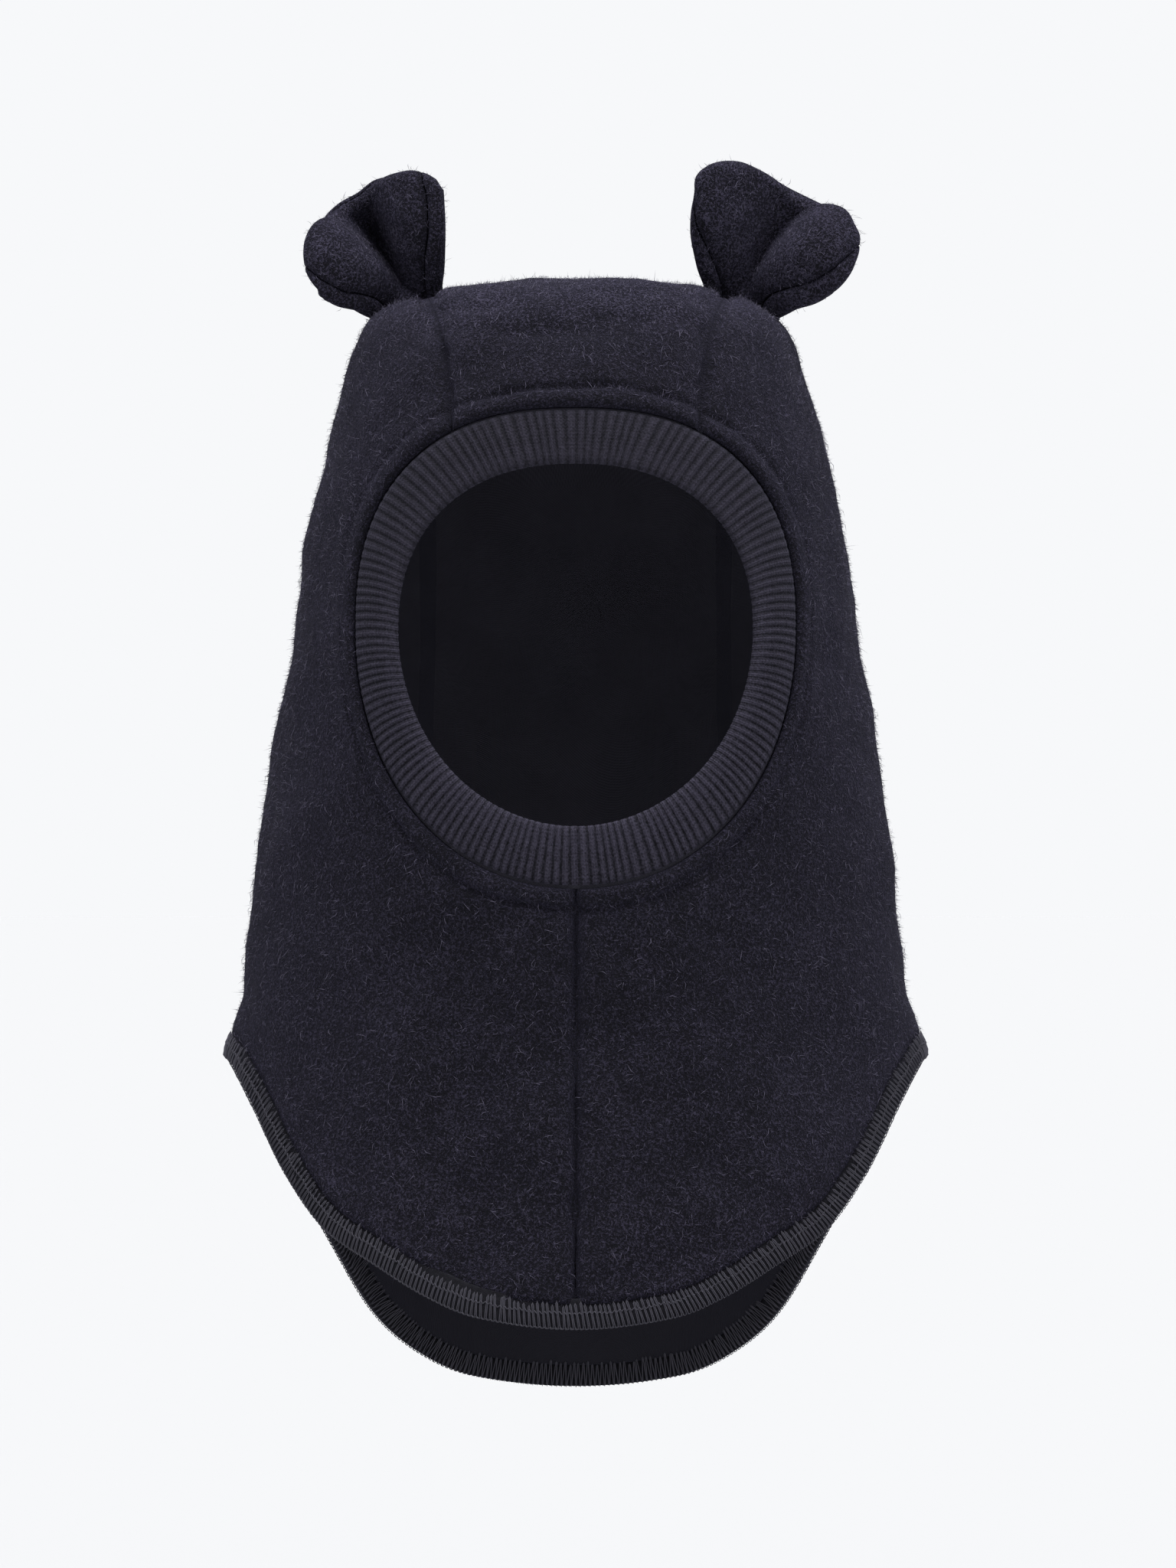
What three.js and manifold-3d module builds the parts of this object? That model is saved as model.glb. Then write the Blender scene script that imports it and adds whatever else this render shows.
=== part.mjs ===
// A child's balaclava hat with two folded ears, filled out as it is when worn.
// Brushed wool panels lie over a jersey lining made of the same three panels. A ribbed knit band
// edges the face opening, and an overlocked edge closes both layers round the shirt-tail hem.
// Millimetres, front -Y, up +Z. The crown of the head touches the lining at the origin.

import * as THREE from "three";
import { mergeVertices } from "three/addons/utils/BufferGeometryUtils.js";
import Module from "manifold-3d";

// The hat's form, measured on the outside of the wool.
const sideHemDrop = 238.5; // crown down to the hem at the sides
const frontHemDrop = 319.5; // crown down to the middle of the front hem
const backHemDrop = 342; // crown down to the middle of the back hem
const bodyHalfWidth = 105; // at the hem's sides
const bodyHalfDepth = 79.5; // at the level of the nose
const hemFlare = 4.5; // the stretched hem stands out this far at the sides

// Layers of cloth.
const woolThickness = 2.5;
const liningThickness = 1;
const clothGap = 0.3; // between layers, and between panels at a seam
const seamDip = 0.8; // a panel's face sinks this far where it is sewn
const overlockWidth = 7.3;
const overlockProud = 0.4; // thread lies this far proud of the wool and of the lining

// The face opening and its knitted band, as seen from the front.
const faceCentreDrop = 107;
const faceSeam = { halfWidth: 68.6, rise: 67.3, fall: 79.5, squareTop: 2.45, squareFoot: 2.1 };
const faceHole = { halfWidth: 55.2, rise: 50, fall: 60.6, squareTop: 2.25, squareFoot: 2 };
const bandThickness = 2.2;
const bandGap = 0.5; // between the band and the wool's edge round the face
const ribPitch = 2.6; // between neighbouring ribs, half way across the band
const ribDepth = 0.7;

// The middle panel runs from the forehead over the crown to the back hem.
const foreheadHalfWidth = 38.5; // of the middle panel at the face seam
const stripHalfWidth = 46; // of the middle panel over the crown and down the back
const backHemHalfWidth = 48; // of the middle panel at the back hem

// The ears.
const earReach = 38; // from the root to the rim
const earWool = 1.8; // thickness of each of an ear's two layers
const earSeamInset = 5.6; // the back layer rolls this far round to the front
const earLayerGap = 0.5; // between an ear's two layers
const earSeamGap = 1.6; // between the rolled edge of the back layer and the front one
const earSeat = 0.3; // gap between an ear's root and the crown
const earRootDepth = 7; // the folded root, front to back

// How finely the cloth is faceted.
const middleColumns = 6;
const backColumns = 6; // of a side panel, from its back seam to the hem's corner
const frontColumns = 8; // of a side panel, from the hem's corner to the chin
const crownRows = 14; // from the face seam over the crown
const skirtRows = 11; // from there to the hem
const crownShare = 0.42; // of the way down that the crown's rows take
const earColumns = 10;
const earRows = 5;

// The body's sections from the crown down. along: place on the cloth, 1 at about the side hem.
// drop: share of sideHemDrop. wide: share of bodyHalfWidth. deep and back: shares of bodyHalfDepth,
// where back is how far the section's middle lies behind the origin. square: 2 is an ellipse.
const sections = [
  { along: 0.0, drop: 0.0, wide: 0.0, deep: 0.0, back: 0.075, square: 2 },
  { along: 0.05, drop: 0.0017, wide: 0.162, deep: 0.2, back: 0.075, square: 2 },
  { along: 0.1, drop: 0.0055, wide: 0.324, deep: 0.39, back: 0.075, square: 2.1 },
  { along: 0.15, drop: 0.0176, wide: 0.476, deep: 0.553, back: 0.075, square: 2.2 },
  { along: 0.2, drop: 0.0545, wide: 0.605, deep: 0.698, back: 0.07, square: 2.25 },
  { along: 0.26, drop: 0.126, wide: 0.671, deep: 0.824, back: 0.063, square: 2.25 },
  { along: 0.34, drop: 0.2264, wide: 0.735, deep: 0.925, back: 0.057, square: 2.25 },
  { along: 0.44, drop: 0.348, wide: 0.799, deep: 0.987, back: 0.05, square: 2.2 },
  { along: 0.55, drop: 0.486, wide: 0.853, deep: 1.0, back: 0.044, square: 2.2 },
  { along: 0.66, drop: 0.629, wide: 0.897, deep: 0.956, back: 0.038, square: 2.2 },
  { along: 0.78, drop: 0.784, wide: 0.94, deep: 0.899, back: 0.025, square: 2.2 },
  { along: 0.9, drop: 0.939, wide: 0.976, deep: 0.893, back: 0.013, square: 2.2 },
  { along: 1.0, drop: 1.069, wide: 0.995, deep: 0.918, back: 0.0, square: 2.2 },
  { along: 1.15, drop: 1.258, wide: 1.019, deep: 0.969, back: 0.0, square: 2.2 },
  { along: 1.3, drop: 1.447, wide: 1.038, deep: 1.031, back: 0.0, square: 2.2 },
];

// How far the hem has come down from the sides to its lowest point, front and back.
// turn: 0 in the middle of the front or the back, 1 at the side.
const hemDips = [
  { turn: -0.24, front: 0.956, back: 0.97 },
  { turn: 0.0, front: 1.0, back: 1.0 },
  { turn: 0.24, front: 0.956, back: 0.97 },
  { turn: 0.36, front: 0.878, back: 0.91 },
  { turn: 0.48, front: 0.76, back: 0.782 },
  { turn: 0.6, front: 0.628, back: 0.547 },
  { turn: 0.7, front: 0.431, back: 0.338 },
  { turn: 0.8, front: 0.193, back: 0.151 },
  { turn: 0.87, front: 0.071, back: 0.055 },
  { turn: 0.93, front: 0.011, back: 0.009 },
  { turn: 1.0, front: 0.0, back: 0.0 },
];

// Each ear's rim, from the edge beside the crown's middle (-1) to the outer edge (1), in shares of
// earReach. out: away from the hat's middle. up: above the root. back: behind the root.
// Its folds say how far the cloth half way up to the rim stands off a straight line, likewise.
const leftEar = {
  side: -1,
  rootOut: 49,
  rootHalfWidth: 10,
  rootSlope: -0.3,
  rim: [
    { across: -1.0, out: -0.21, up: 0.87, back: -0.12 },
    { across: -0.75, out: -0.06, up: 1.01, back: 0.02 },
    { across: -0.35, out: 0.25, up: 0.99, back: 0.16 },
    { across: 0.0, out: 0.52, up: 0.82, back: 0.24 },
    { across: 0.35, out: 0.73, up: 0.66, back: 0.14 },
    { across: 0.75, out: 0.9, up: 0.42, back: -0.04 },
    { across: 1.0, out: 0.87, up: 0.18, back: -0.16 },
  ],
  folds: [
    { across: -1.0, back: -0.04, up: 0.0 },
    { across: -0.5, back: 0.02, up: 0.0 },
    { across: -0.15, back: 0.2, up: 0.0 },
    { across: 0.15, back: 0.14, up: 0.0 },
    { across: 0.55, back: -0.08, up: -0.02 },
    { across: 1.0, back: -0.03, up: -0.06 },
  ],
};
const rightEar = {
  side: 1,
  rootOut: 51.5,
  rootHalfWidth: 10.5,
  rootSlope: -0.3,
  rim: [
    { across: -1.0, out: -0.33, up: 1.0, back: -0.1 },
    { across: -0.7, out: -0.01, up: 1.07, back: 0.04 },
    { across: -0.3, out: 0.31, up: 0.94, back: 0.18 },
    { across: 0.1, out: 0.66, up: 0.73, back: 0.26 },
    { across: 0.4, out: 0.87, up: 0.62, back: 0.02 },
    { across: 0.75, out: 0.95, up: 0.39, back: -0.12 },
    { across: 1.0, out: 0.72, up: 0.12, back: -0.14 },
  ],
  folds: [
    { across: -1.0, back: -0.1, up: 0.0 },
    { across: -0.5, back: 0.02, up: 0.0 },
    { across: 0.0, back: 0.16, up: 0.0 },
    { across: 0.25, back: 0.12, up: 0.0 },
    { across: 0.5, back: -0.12, up: -0.02 },
    { across: 1.0, back: -0.02, up: -0.06 },
  ],
};

const crownTop = liningThickness + clothGap + woolThickness;
const liningOuter = -(woolThickness + clothGap);
const liningInner = -crownTop;

const mix = (a, b, share) => a + (b - a) * share;
const smooth = (from, to, value) => {
  const t = THREE.MathUtils.clamp((value - from) / (to - from), 0, 1);
  return t * t * (3 - 2 * t);
};

// Smooth curve through one column of a table, run straight on past its ends. mirror is the row
// that stands before the first one, so that a closed crown stays round.
function curveThrough(rows, place, column, at, mirror) {
  const all = mirror ? [mirror, ...rows] : rows;
  const first = mirror ? 1 : 0;
  let i = first;
  while (i < all.length - 2 && at > all[i + 1][place]) i += 1;
  const slope = (k) => {
    const low = all[Math.max(k - 1, 0)];
    const high = all[Math.min(k + 1, all.length - 1)];
    return (high[column] - low[column]) / (high[place] - low[place]);
  };
  const [start, end] = [all[i], all[i + 1]];
  const length = end[place] - start[place];
  const t = (at - start[place]) / length;
  if (t > 1) return end[column] + slope(i + 1) * (at - end[place]);
  if (t < 0) return start[column] + slope(i) * (at - start[place]);
  const [t2, t3] = [t * t, t * t * t];
  return (
    (2 * t3 - 3 * t2 + 1) * start[column] +
    (t3 - 2 * t2 + t) * length * slope(i) +
    (3 * t2 - 2 * t3) * end[column] +
    (t3 - t2) * length * slope(i + 1)
  );
}

// The value between low and high at which a rising measure reaches target.
function solve(low, high, target, measure) {
  for (let step = 0; step < 40; step += 1) {
    const middle = (low + high) / 2;
    if (measure(middle) < target) low = middle;
    else high = middle;
  }
  return (low + high) / 2;
}

const crownMirror = {
  ...sections[1],
  along: -sections[1].along,
  wide: -sections[1].wide,
  deep: -sections[1].deep,
};
const section = (along, column) => curveThrough(sections, "along", column, along, crownMirror);
const dropAt = (along) => sideHemDrop * section(along, "drop");
const alongAtDrop = (drop) => solve(0, 3, drop, dropAt);

// The body is charted on a flat disc: its middle is the crown, a point's distance from it is the
// place along the cloth, and its direction is the turn from the front (-Y) towards +X.
function bodyPoint(x, y) {
  const along = Math.hypot(x, y);
  const turn = Math.atan2(x, -y);
  const wide = bodyHalfWidth * section(along, "wide");
  const deep = bodyHalfDepth * section(along, "deep");
  const square = section(along, "square");
  const radius =
    along < 1e-9
      ? 0
      : ((Math.abs(Math.sin(turn)) / wide) ** square + (Math.abs(Math.cos(turn)) / deep) ** square) **
        (-1 / square);
  return new THREE.Vector3(
    radius * Math.sin(turn),
    bodyHalfDepth * section(along, "back") - radius * Math.cos(turn),
    crownTop - dropAt(along),
  );
}

// A ring round the face as seen from the front: x and drop at an angle from its top.
function faceRing(ring, around) {
  const square = Math.cos(around) > 0 ? ring.squareTop : ring.squareFoot;
  const tall = Math.cos(around) > 0 ? ring.rise : ring.fall;
  const radius =
    ((Math.abs(Math.sin(around)) / ring.halfWidth) ** square +
      (Math.abs(Math.cos(around)) / tall) ** square) **
    (-1 / square);
  return { x: radius * Math.sin(around), drop: faceCentreDrop - radius * Math.cos(around) };
}

// The same ring on the disc.
function faceRingOnDisc(ring, around) {
  const { x, drop } = faceRing(ring, around);
  const along = alongAtDrop(drop);
  const wide = bodyHalfWidth * section(along, "wide");
  const deep = bodyHalfDepth * section(along, "deep");
  const square = section(along, "square");
  const front = deep * (1 - Math.abs(x / wide) ** square) ** (1 / square);
  const turn = Math.atan2(x, front);
  return { x: along * Math.sin(turn), y: -along * Math.cos(turn) };
}

// The hem's edge on the disc, at a turn from the back.
function hemAtTurn(turn) {
  const [column, lowest] = Math.cos(turn) > 0 ? ["back", backHemDrop] : ["front", frontHemDrop];
  const fromMiddle = Math.asin(Math.min(Math.abs(Math.sin(turn)), 1)) / (Math.PI / 2);
  const dip = curveThrough(hemDips, "turn", column, fromMiddle);
  const drop = mix(sideHemDrop, lowest, dip);
  const along = alongAtDrop(drop);
  return { x: along * Math.sin(turn), y: along * Math.cos(turn) };
}

// The seam between the middle panel and a side panel leaves the face seam at seamAround and meets
// the hem at seamTurn. Between the seams, the turn of the hem follows the turn round the face.
const seamAround = solve(0, 1.2, foreheadHalfWidth, (a) => faceRing(faceSeam, a).x);
const seamTurn = solve(0, 1.2, backHemHalfWidth, (turn) => {
  const { x, y } = hemAtTurn(turn);
  return bodyPoint(x, y).x;
});
const seamStart = faceRingOnDisc(faceSeam, seamAround);
const seamEnd = hemAtTurn(seamTurn);

function hemTurn(around) {
  const turned = Math.abs(around);
  const beyond = (turned - seamAround) / (Math.PI - seamAround);
  const turn = beyond < 0 ? (turned / seamAround) * seamTurn : mix(seamTurn, Math.PI, beyond);
  return Math.sign(around) * turn;
}

// How far the seam lies outside a straight line on the disc, a share down from face to hem.
function seamPull(down) {
  const y = mix(seamStart.y, seamEnd.y, down);
  const top = mix(foreheadHalfWidth, stripHalfWidth, smooth(0, 0.18, down));
  const width = mix(top, backHemHalfWidth, smooth(0.5, 1, down));
  const x = solve(0, 1.5, width, (value) => bodyPoint(value, y).x);
  return x - mix(seamStart.x, seamEnd.x, down);
}
const pullSteps = 96;
const pulls = Array.from({ length: pullSteps + 1 }, (_, i) => seamPull(i / pullSteps));
function pullAt(down) {
  const place = THREE.MathUtils.clamp(down, 0, 1) * pullSteps;
  const i = Math.min(Math.floor(place), pullSteps - 1);
  return mix(pulls[i], pulls[i + 1], place - i);
}

// A point of the cloth. around: 0 at the top and back, half a turn at chin and front, either way.
// down: 0 at the face seam, 1 at the hem's edge, and 0 to -1 across the face band to its fold.
function clothPoint(around, down) {
  const start = faceRingOnDisc(faceSeam, around);
  if (down < 0) {
    const fold = faceRingOnDisc(faceHole, around);
    return bodyPoint(mix(start.x, fold.x, -down), mix(start.y, fold.y, -down));
  }
  const end = hemAtTurn(hemTurn(around));
  const turned = Math.abs(around);
  const share = turned < seamAround ? turned / seamAround : (Math.PI - turned) / (Math.PI - seamAround);
  const x = mix(start.x, end.x, down) + Math.sign(around) * share * pullAt(down);
  const point = bodyPoint(x, mix(start.y, end.y, down));
  const flare = hemFlare * Math.sin(hemTurn(around)) ** 16 * smooth(0.88, 1, down);
  point.x += flare * Math.sign(point.x);
  return point;
}

// The cloth's outward normal, from neighbouring points on the same piece.
function clothNormal(around, down) {
  const step = 1e-3;
  const [low, high] = down < 0 ? [-1, 0 - 1e-9] : [0, 1];
  const before = clothPoint(around, Math.max(down - step, low));
  const after = clothPoint(around, Math.min(down + step, high));
  const left = clothPoint(around - step, down);
  const right = clothPoint(around + step, down);
  const downward = after.sub(before);
  const sideways = right.sub(left);
  return sideways.cross(downward).normalize();
}

function layerPoint(around, down, offset) {
  return clothPoint(around, down).addScaledVector(clothNormal(around, down), offset);
}

// Evenly spaced shares from 0 to 1, with one narrow step at each end that is named.
function shares(count, { first = 0, last = 0 } = {}) {
  const inner = count - (first ? 1 : 0) - (last ? 1 : 0);
  const between = Array.from({ length: inner + 1 }, (_, i) => mix(first, 1 - last, i / inner));
  return [...(first ? [0] : []), ...between, ...(last ? [1] : [])];
}

// A closed solid between two grids of points, outer(i, j) and inner(i, j). wraps joins the last
// column to the first.
function sheetSolid(columns, rows, outer, inner, wraps = false) {
  const stride = columns + (wraps ? 0 : 1);
  const points = [];
  for (const layer of [outer, inner]) {
    for (let j = 0; j <= rows; j += 1) {
      for (let i = 0; i < stride; i += 1) points.push(layer(i, j));
    }
  }
  const half = stride * (rows + 1);
  const at = (i, j, layer) => layer * half + j * stride + (i % stride);
  const faces = [];
  const quad = (a, b, c, d) => faces.push(a, b, c, a, c, d);
  for (let i = 0; i < columns; i += 1) {
    for (let j = 0; j < rows; j += 1) {
      faces.push(at(i, j, 0), at(i + 1, j + 1, 0), at(i, j + 1, 0));
      faces.push(at(i, j, 0), at(i + 1, j, 0), at(i + 1, j + 1, 0));
      faces.push(at(i, j, 1), at(i, j + 1, 1), at(i + 1, j + 1, 1));
      faces.push(at(i, j, 1), at(i + 1, j + 1, 1), at(i + 1, j, 1));
    }
    quad(at(i, 0, 1), at(i + 1, 0, 1), at(i + 1, 0, 0), at(i, 0, 0));
    quad(at(i, rows, 0), at(i + 1, rows, 0), at(i + 1, rows, 1), at(i, rows, 1));
  }
  for (let j = 0; j < rows && !wraps; j += 1) {
    quad(at(0, j, 1), at(0, j, 0), at(0, j + 1, 0), at(0, j + 1, 1));
    quad(at(columns, j, 0), at(columns, j, 1), at(columns, j + 1, 1), at(columns, j + 1, 0));
  }
  const geometry = new THREE.BufferGeometry();
  geometry.setAttribute(
    "position",
    new THREE.Float32BufferAttribute(points.flatMap((p) => p.toArray()), 3),
  );
  geometry.setIndex(faces);
  return geometry;
}

// How far down a line lies that keeps its distance from the hem's edge.
function shareAboveHem(around, distance) {
  const step = 1e-3;
  const edge = clothPoint(around, 1);
  const downward = edge.clone().sub(clothPoint(around, 1 - step)).divideScalar(step);
  const along = clothPoint(around + step, 1).sub(edge).normalize();
  return 1 - distance / downward.cross(along).length();
}

// The rows of the cloth, and how far down each lies.
const rowShares = [
  ...shares(crownRows, { first: 0.04 }).map((share) => share * crownShare),
  ...shares(skirtRows).slice(1).map((share) => mix(crownShare, 1, share)),
];
const clothRows = rowShares.length - 1;
const rowDown = (around, j) => rowShares[j] * shareAboveHem(around, overlockWidth + clothGap);

// How far a seam's half gap is, in turn, at this place.
function halfGapAround(around, down) {
  const step = 1e-3;
  const moved = clothPoint(around + step, down).distanceTo(clothPoint(around, down));
  return (clothGap / 2 / moved) * step;
}

// One panel of wool between two seams. Its face sinks by seamDip where it is sewn.
function panel(from, to, columnShares) {
  const columns = columnShares.length - 1;
  const place = (i, j) => {
    const nominal = mix(from, to, columnShares[i]);
    const down = rowDown(nominal, j);
    const inset = (i === 0) - (i === columns);
    return { around: nominal + inset * halfGapAround(nominal, down), down };
  };
  const sewn = (i, j) => i === 0 || i === columns || j === 0;
  const layer = (offset) => (i, j) => {
    const { around, down } = place(i, j);
    return layerPoint(around, down, offset(i, j));
  };
  const face = layer((i, j) => (sewn(i, j) ? -seamDip : 0));
  return sheetSolid(columns, clothRows, face, layer(() => -woolThickness));
}

// The columns of a panel. A side panel has one at the hem's corner.
const cornerShare = (Math.PI / 2 - seamTurn) / (Math.PI - seamTurn);
const middleShares = shares(middleColumns, { first: 0.05, last: 0.05 });
const sideShares = [
  ...shares(backColumns, { first: 0.06 }).map((share) => share * cornerShare),
  ...shares(frontColumns, { last: 0.03 }).slice(1).map((share) => mix(cornerShare, 1, share)),
];
const mirroredShares = sideShares.map((share) => 1 - share).reverse();

// The turns of every column right round the hat, starting at one of the middle panel's seams.
const allTurns = [
  ...middleShares.slice(0, -1).map((share) => mix(-seamAround, seamAround, share)),
  ...sideShares.slice(0, -1).map((share) => mix(seamAround, Math.PI, share)),
  ...mirroredShares.slice(0, -1).map((share) => mix(-Math.PI, -seamAround, share)),
];

// A layer of cloth right round the hat, between two offsets from the wool's face.
function ringOfCloth(outside, inside) {
  const layer = (offset) => (i, j) => layerPoint(allTurns[i], rowDown(allTurns[i], j), offset);
  return sheetSolid(allTurns.length, clothRows, layer(outside), layer(inside), true);
}

// The hem's overlocked edge: a flat band as wide as the stitch, rounded over at the fold.
function hemEdge() {
  const rows = [
    { down: 0, shrink: 0 },
    { down: 0.85, shrink: 0 },
    { down: 1, shrink: 0.3 },
  ];
  const outside = overlockProud;
  const inside = liningInner - overlockProud;
  const point = (i, j, offset, other) => {
    const down = mix(shareAboveHem(allTurns[i], overlockWidth), 1, rows[j].down);
    return layerPoint(allTurns[i], down, mix(offset, other, rows[j].shrink));
  };
  return sheetSolid(
    allTurns.length,
    rows.length - 1,
    (i, j) => point(i, j, outside, inside),
    (i, j) => point(i, j, inside, outside),
    true,
  );
}

// The knitted face band: one fold of rib knit, its ribs running across it.
function faceBand() {
  const middle = { ...faceSeam };
  for (const size of ["halfWidth", "rise", "fall"]) middle[size] = (faceSeam[size] + faceHole[size]) / 2;
  const steps = 720;
  let length = 0;
  for (let i = 0; i < steps; i += 1) {
    const a = faceRing(middle, (i / steps) * 2 * Math.PI);
    const b = faceRing(middle, ((i + 1) / steps) * 2 * Math.PI);
    length += Math.hypot(a.x - b.x, a.drop - b.drop);
  }
  const ribs = Math.round(length / ribPitch);
  const columns = ribs * 2;
  const downs = [-1, -(bandGap / (faceSeam.halfWidth - faceHole.halfWidth))];
  const inner = -(woolThickness + bandThickness) / 2;
  const turn = (i) => {
    const around = (i / columns) * 2 * Math.PI;
    return around > Math.PI ? around - 2 * Math.PI : around;
  };
  return sheetSolid(
    columns,
    1,
    (i, j) => layerPoint(turn(i), downs[j], inner + bandThickness - (i % 2 ? ribDepth : 0)),
    (i, j) => layerPoint(turn(i), downs[j], inner),
    true,
  );
}

// An ear's cloth. across: -1 beside the crown's middle to 1 outside. up: 0 at the root, 1 at the rim.
function earPoint(ear, across, up) {
  const rootY = bodyHalfDepth * sections[0].back - earRootDepth / 2;
  const rootZ = solve(0, 40, ear.rootOut, (drop) => bodyHalfWidth * section(alongAtDrop(drop), "wide"));
  const root = new THREE.Vector3(
    ear.rootOut + across * ear.rootHalfWidth,
    rootY + earRootDepth * (1 - across * across),
    crownTop - rootZ + across * ear.rootHalfWidth * ear.rootSlope,
  );
  const rim = new THREE.Vector3(
    ear.rootOut + earReach * curveThrough(ear.rim, "across", "out", across),
    rootY + earReach * curveThrough(ear.rim, "across", "back", across),
    crownTop - rootZ + earReach * curveThrough(ear.rim, "across", "up", across),
  );
  const point = root.lerp(rim, up);
  const bulge = earReach * 4 * up * (1 - up);
  point.y += bulge * curveThrough(ear.folds, "across", "back", across);
  point.z += bulge * curveThrough(ear.folds, "across", "up", across);
  point.x *= ear.side;
  return point;
}

function earNormal(ear, across, up) {
  const step = 1e-3;
  const sideways = earPoint(ear, across + step, up).sub(earPoint(ear, across - step, up));
  const upward = earPoint(ear, across, up + step).sub(earPoint(ear, across, up - step));
  return sideways.cross(upward).multiplyScalar(ear.side).normalize();
}

// A solid of an ear's cloth between offsets towards the ear's front.
function earLayer(ear, acrossShares, ups, front, back) {
  const place = (i, j, offset) =>
    earPoint(ear, acrossShares[i], ups[j]).addScaledVector(
      earNormal(ear, acrossShares[i], ups[j]),
      offset(i, j),
    );
  const [near, far] = ear.side > 0 ? [back, front] : [front, back];
  return sheetSolid(
    acrossShares.length - 1,
    ups.length - 1,
    (i, j) => place(i, ups.length - 1 - j, (a) => near(a)),
    (i, j) => place(i, ups.length - 1 - j, (a) => far(a)),
  );
}

const wasm = await Module();
wasm.setup();

const asSolid = (geometry) => {
  const bare = geometry.clone();
  bare.deleteAttribute("normal");
  bare.deleteAttribute("uv");
  const merged = mergeVertices(bare, 1e-4);
  return new wasm.Manifold(
    new wasm.Mesh({
      numProp: 3,
      vertProperties: merged.attributes.position.array,
      triVerts: new Uint32Array(merged.index.array),
    }),
  );
};

const asGeometry = (solid) => {
  const mesh = solid.getMesh();
  const geometry = new THREE.BufferGeometry();
  geometry.setAttribute("position", new THREE.BufferAttribute(mesh.vertProperties, 3));
  geometry.setIndex(new THREE.BufferAttribute(mesh.triVerts, 1));
  return geometry;
};

// What the crown takes away from an ear's root: the cloth right round and the gap over it.
const crownCutter = asSolid(ringOfCloth(earSeat, liningInner));

const seated = (geometry) => {
  const solid = asSolid(geometry).subtract(crownCutter);
  const bodies = solid.decompose().sort((a, b) => b.volume() - a.volume());
  return asGeometry(bodies[0]);
};

const hat = new THREE.Group();

function add(name, geometry, material) {
  geometry.computeVertexNormals();
  const mesh = new THREE.Mesh(geometry, material);
  mesh.name = name;
  hat.add(mesh);
}

const wool = new THREE.MeshStandardMaterial({ color: 0x2a2935, roughness: 0.95, metalness: 0 });
const jersey = new THREE.MeshStandardMaterial({ color: 0x17171d, roughness: 0.9, metalness: 0 });
const ribKnit = new THREE.MeshStandardMaterial({ color: 0x2f2d3b, roughness: 0.85, metalness: 0 });
const thread = new THREE.MeshStandardMaterial({ color: 0x3a3a44, roughness: 0.7, metalness: 0 });

const cuts = [
  { name: "middle_panel", from: -seamAround, to: seamAround, columns: middleShares },
  { name: "side_panel_right", from: seamAround, to: Math.PI, columns: sideShares },
  { name: "side_panel_left", from: -Math.PI, to: -seamAround, columns: mirroredShares },
];
for (const { name, from, to, columns } of cuts) add(name, panel(from, to, columns), wool);
add("lining", ringOfCloth(liningOuter, liningInner), jersey);
add("face_band", faceBand(), ribKnit);
add("hem_overlock", hemEdge(), thread);

// Each ear is two layers of wool sewn together. The back one rolls round to the front at the sides.
const ears = { ear_left: leftEar, ear_right: rightEar };
for (const [name, ear] of Object.entries(ears)) {
  const edge = 1 - earSeamInset / earReach;
  const wall = edge - clothGap / earReach;
  const frontEdge = edge - earSeamGap / earReach;
  const frontAcross = shares(earColumns).map((share) => mix(-frontEdge, frontEdge, share));
  const backAcross = [-1, -edge, -wall, ...frontAcross, wall, edge, 1];
  const rolled = (i) => i < 2 || i > backAcross.length - 3;
  const ups = shares(earRows);
  const backFace = (i) => (rolled(i) ? earWool : -earLayerGap / 2);
  const back = earLayer(ear, backAcross, ups, backFace, () => -earWool);
  const front = earLayer(ear, frontAcross, ups, () => earWool, () => earLayerGap / 2);
  add(name + "_back", seated(back), wool);
  add(name + "_front", seated(front), wool);
}

export default hat;
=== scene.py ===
# A child's brushed wool balaclava hat with two folded ears, filled out as it is when worn.
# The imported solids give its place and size. Each section below dresses one piece, in metres.

import math

import bpy
import numpy as np
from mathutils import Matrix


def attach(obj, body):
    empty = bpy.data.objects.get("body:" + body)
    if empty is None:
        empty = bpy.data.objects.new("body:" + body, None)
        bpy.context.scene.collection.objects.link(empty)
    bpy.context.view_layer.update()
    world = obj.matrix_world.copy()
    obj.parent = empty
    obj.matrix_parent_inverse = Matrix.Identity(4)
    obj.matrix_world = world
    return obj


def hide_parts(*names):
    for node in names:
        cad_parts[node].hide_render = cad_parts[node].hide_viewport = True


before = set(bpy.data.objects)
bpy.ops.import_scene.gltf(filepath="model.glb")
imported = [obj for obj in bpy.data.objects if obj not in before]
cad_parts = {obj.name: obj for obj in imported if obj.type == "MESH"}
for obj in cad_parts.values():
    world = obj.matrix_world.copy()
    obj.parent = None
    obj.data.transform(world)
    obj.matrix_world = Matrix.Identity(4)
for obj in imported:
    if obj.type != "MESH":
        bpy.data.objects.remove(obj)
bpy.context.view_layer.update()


# The wool shell: brushed, boiled wool 2.5 mm thick, cut as a middle panel that runs from the
# forehead over the crown to the back hem, and two side panels that meet below the chin. They are
# sewn from inside, so each face rolls over into its seams, and an allowance lies round the face.

side_hem_drop = 0.2385  # crown down to the hem at the sides
front_hem_drop = 0.3195
back_hem_drop = 0.342
body_half_width = 0.105
body_half_depth = 0.0795
hem_flare = 0.0045
wool_thickness = 0.0025
lining_thickness = 0.001
cloth_gap = 0.0003
overlock_width = 0.0073
crown_top = lining_thickness + cloth_gap + wool_thickness
forehead_half_width = 0.0385  # of the middle panel at the face
strip_half_width = 0.046  # of the middle panel over the crown
back_hem_half_width = 0.048
face_centre_drop = 0.107
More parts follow.
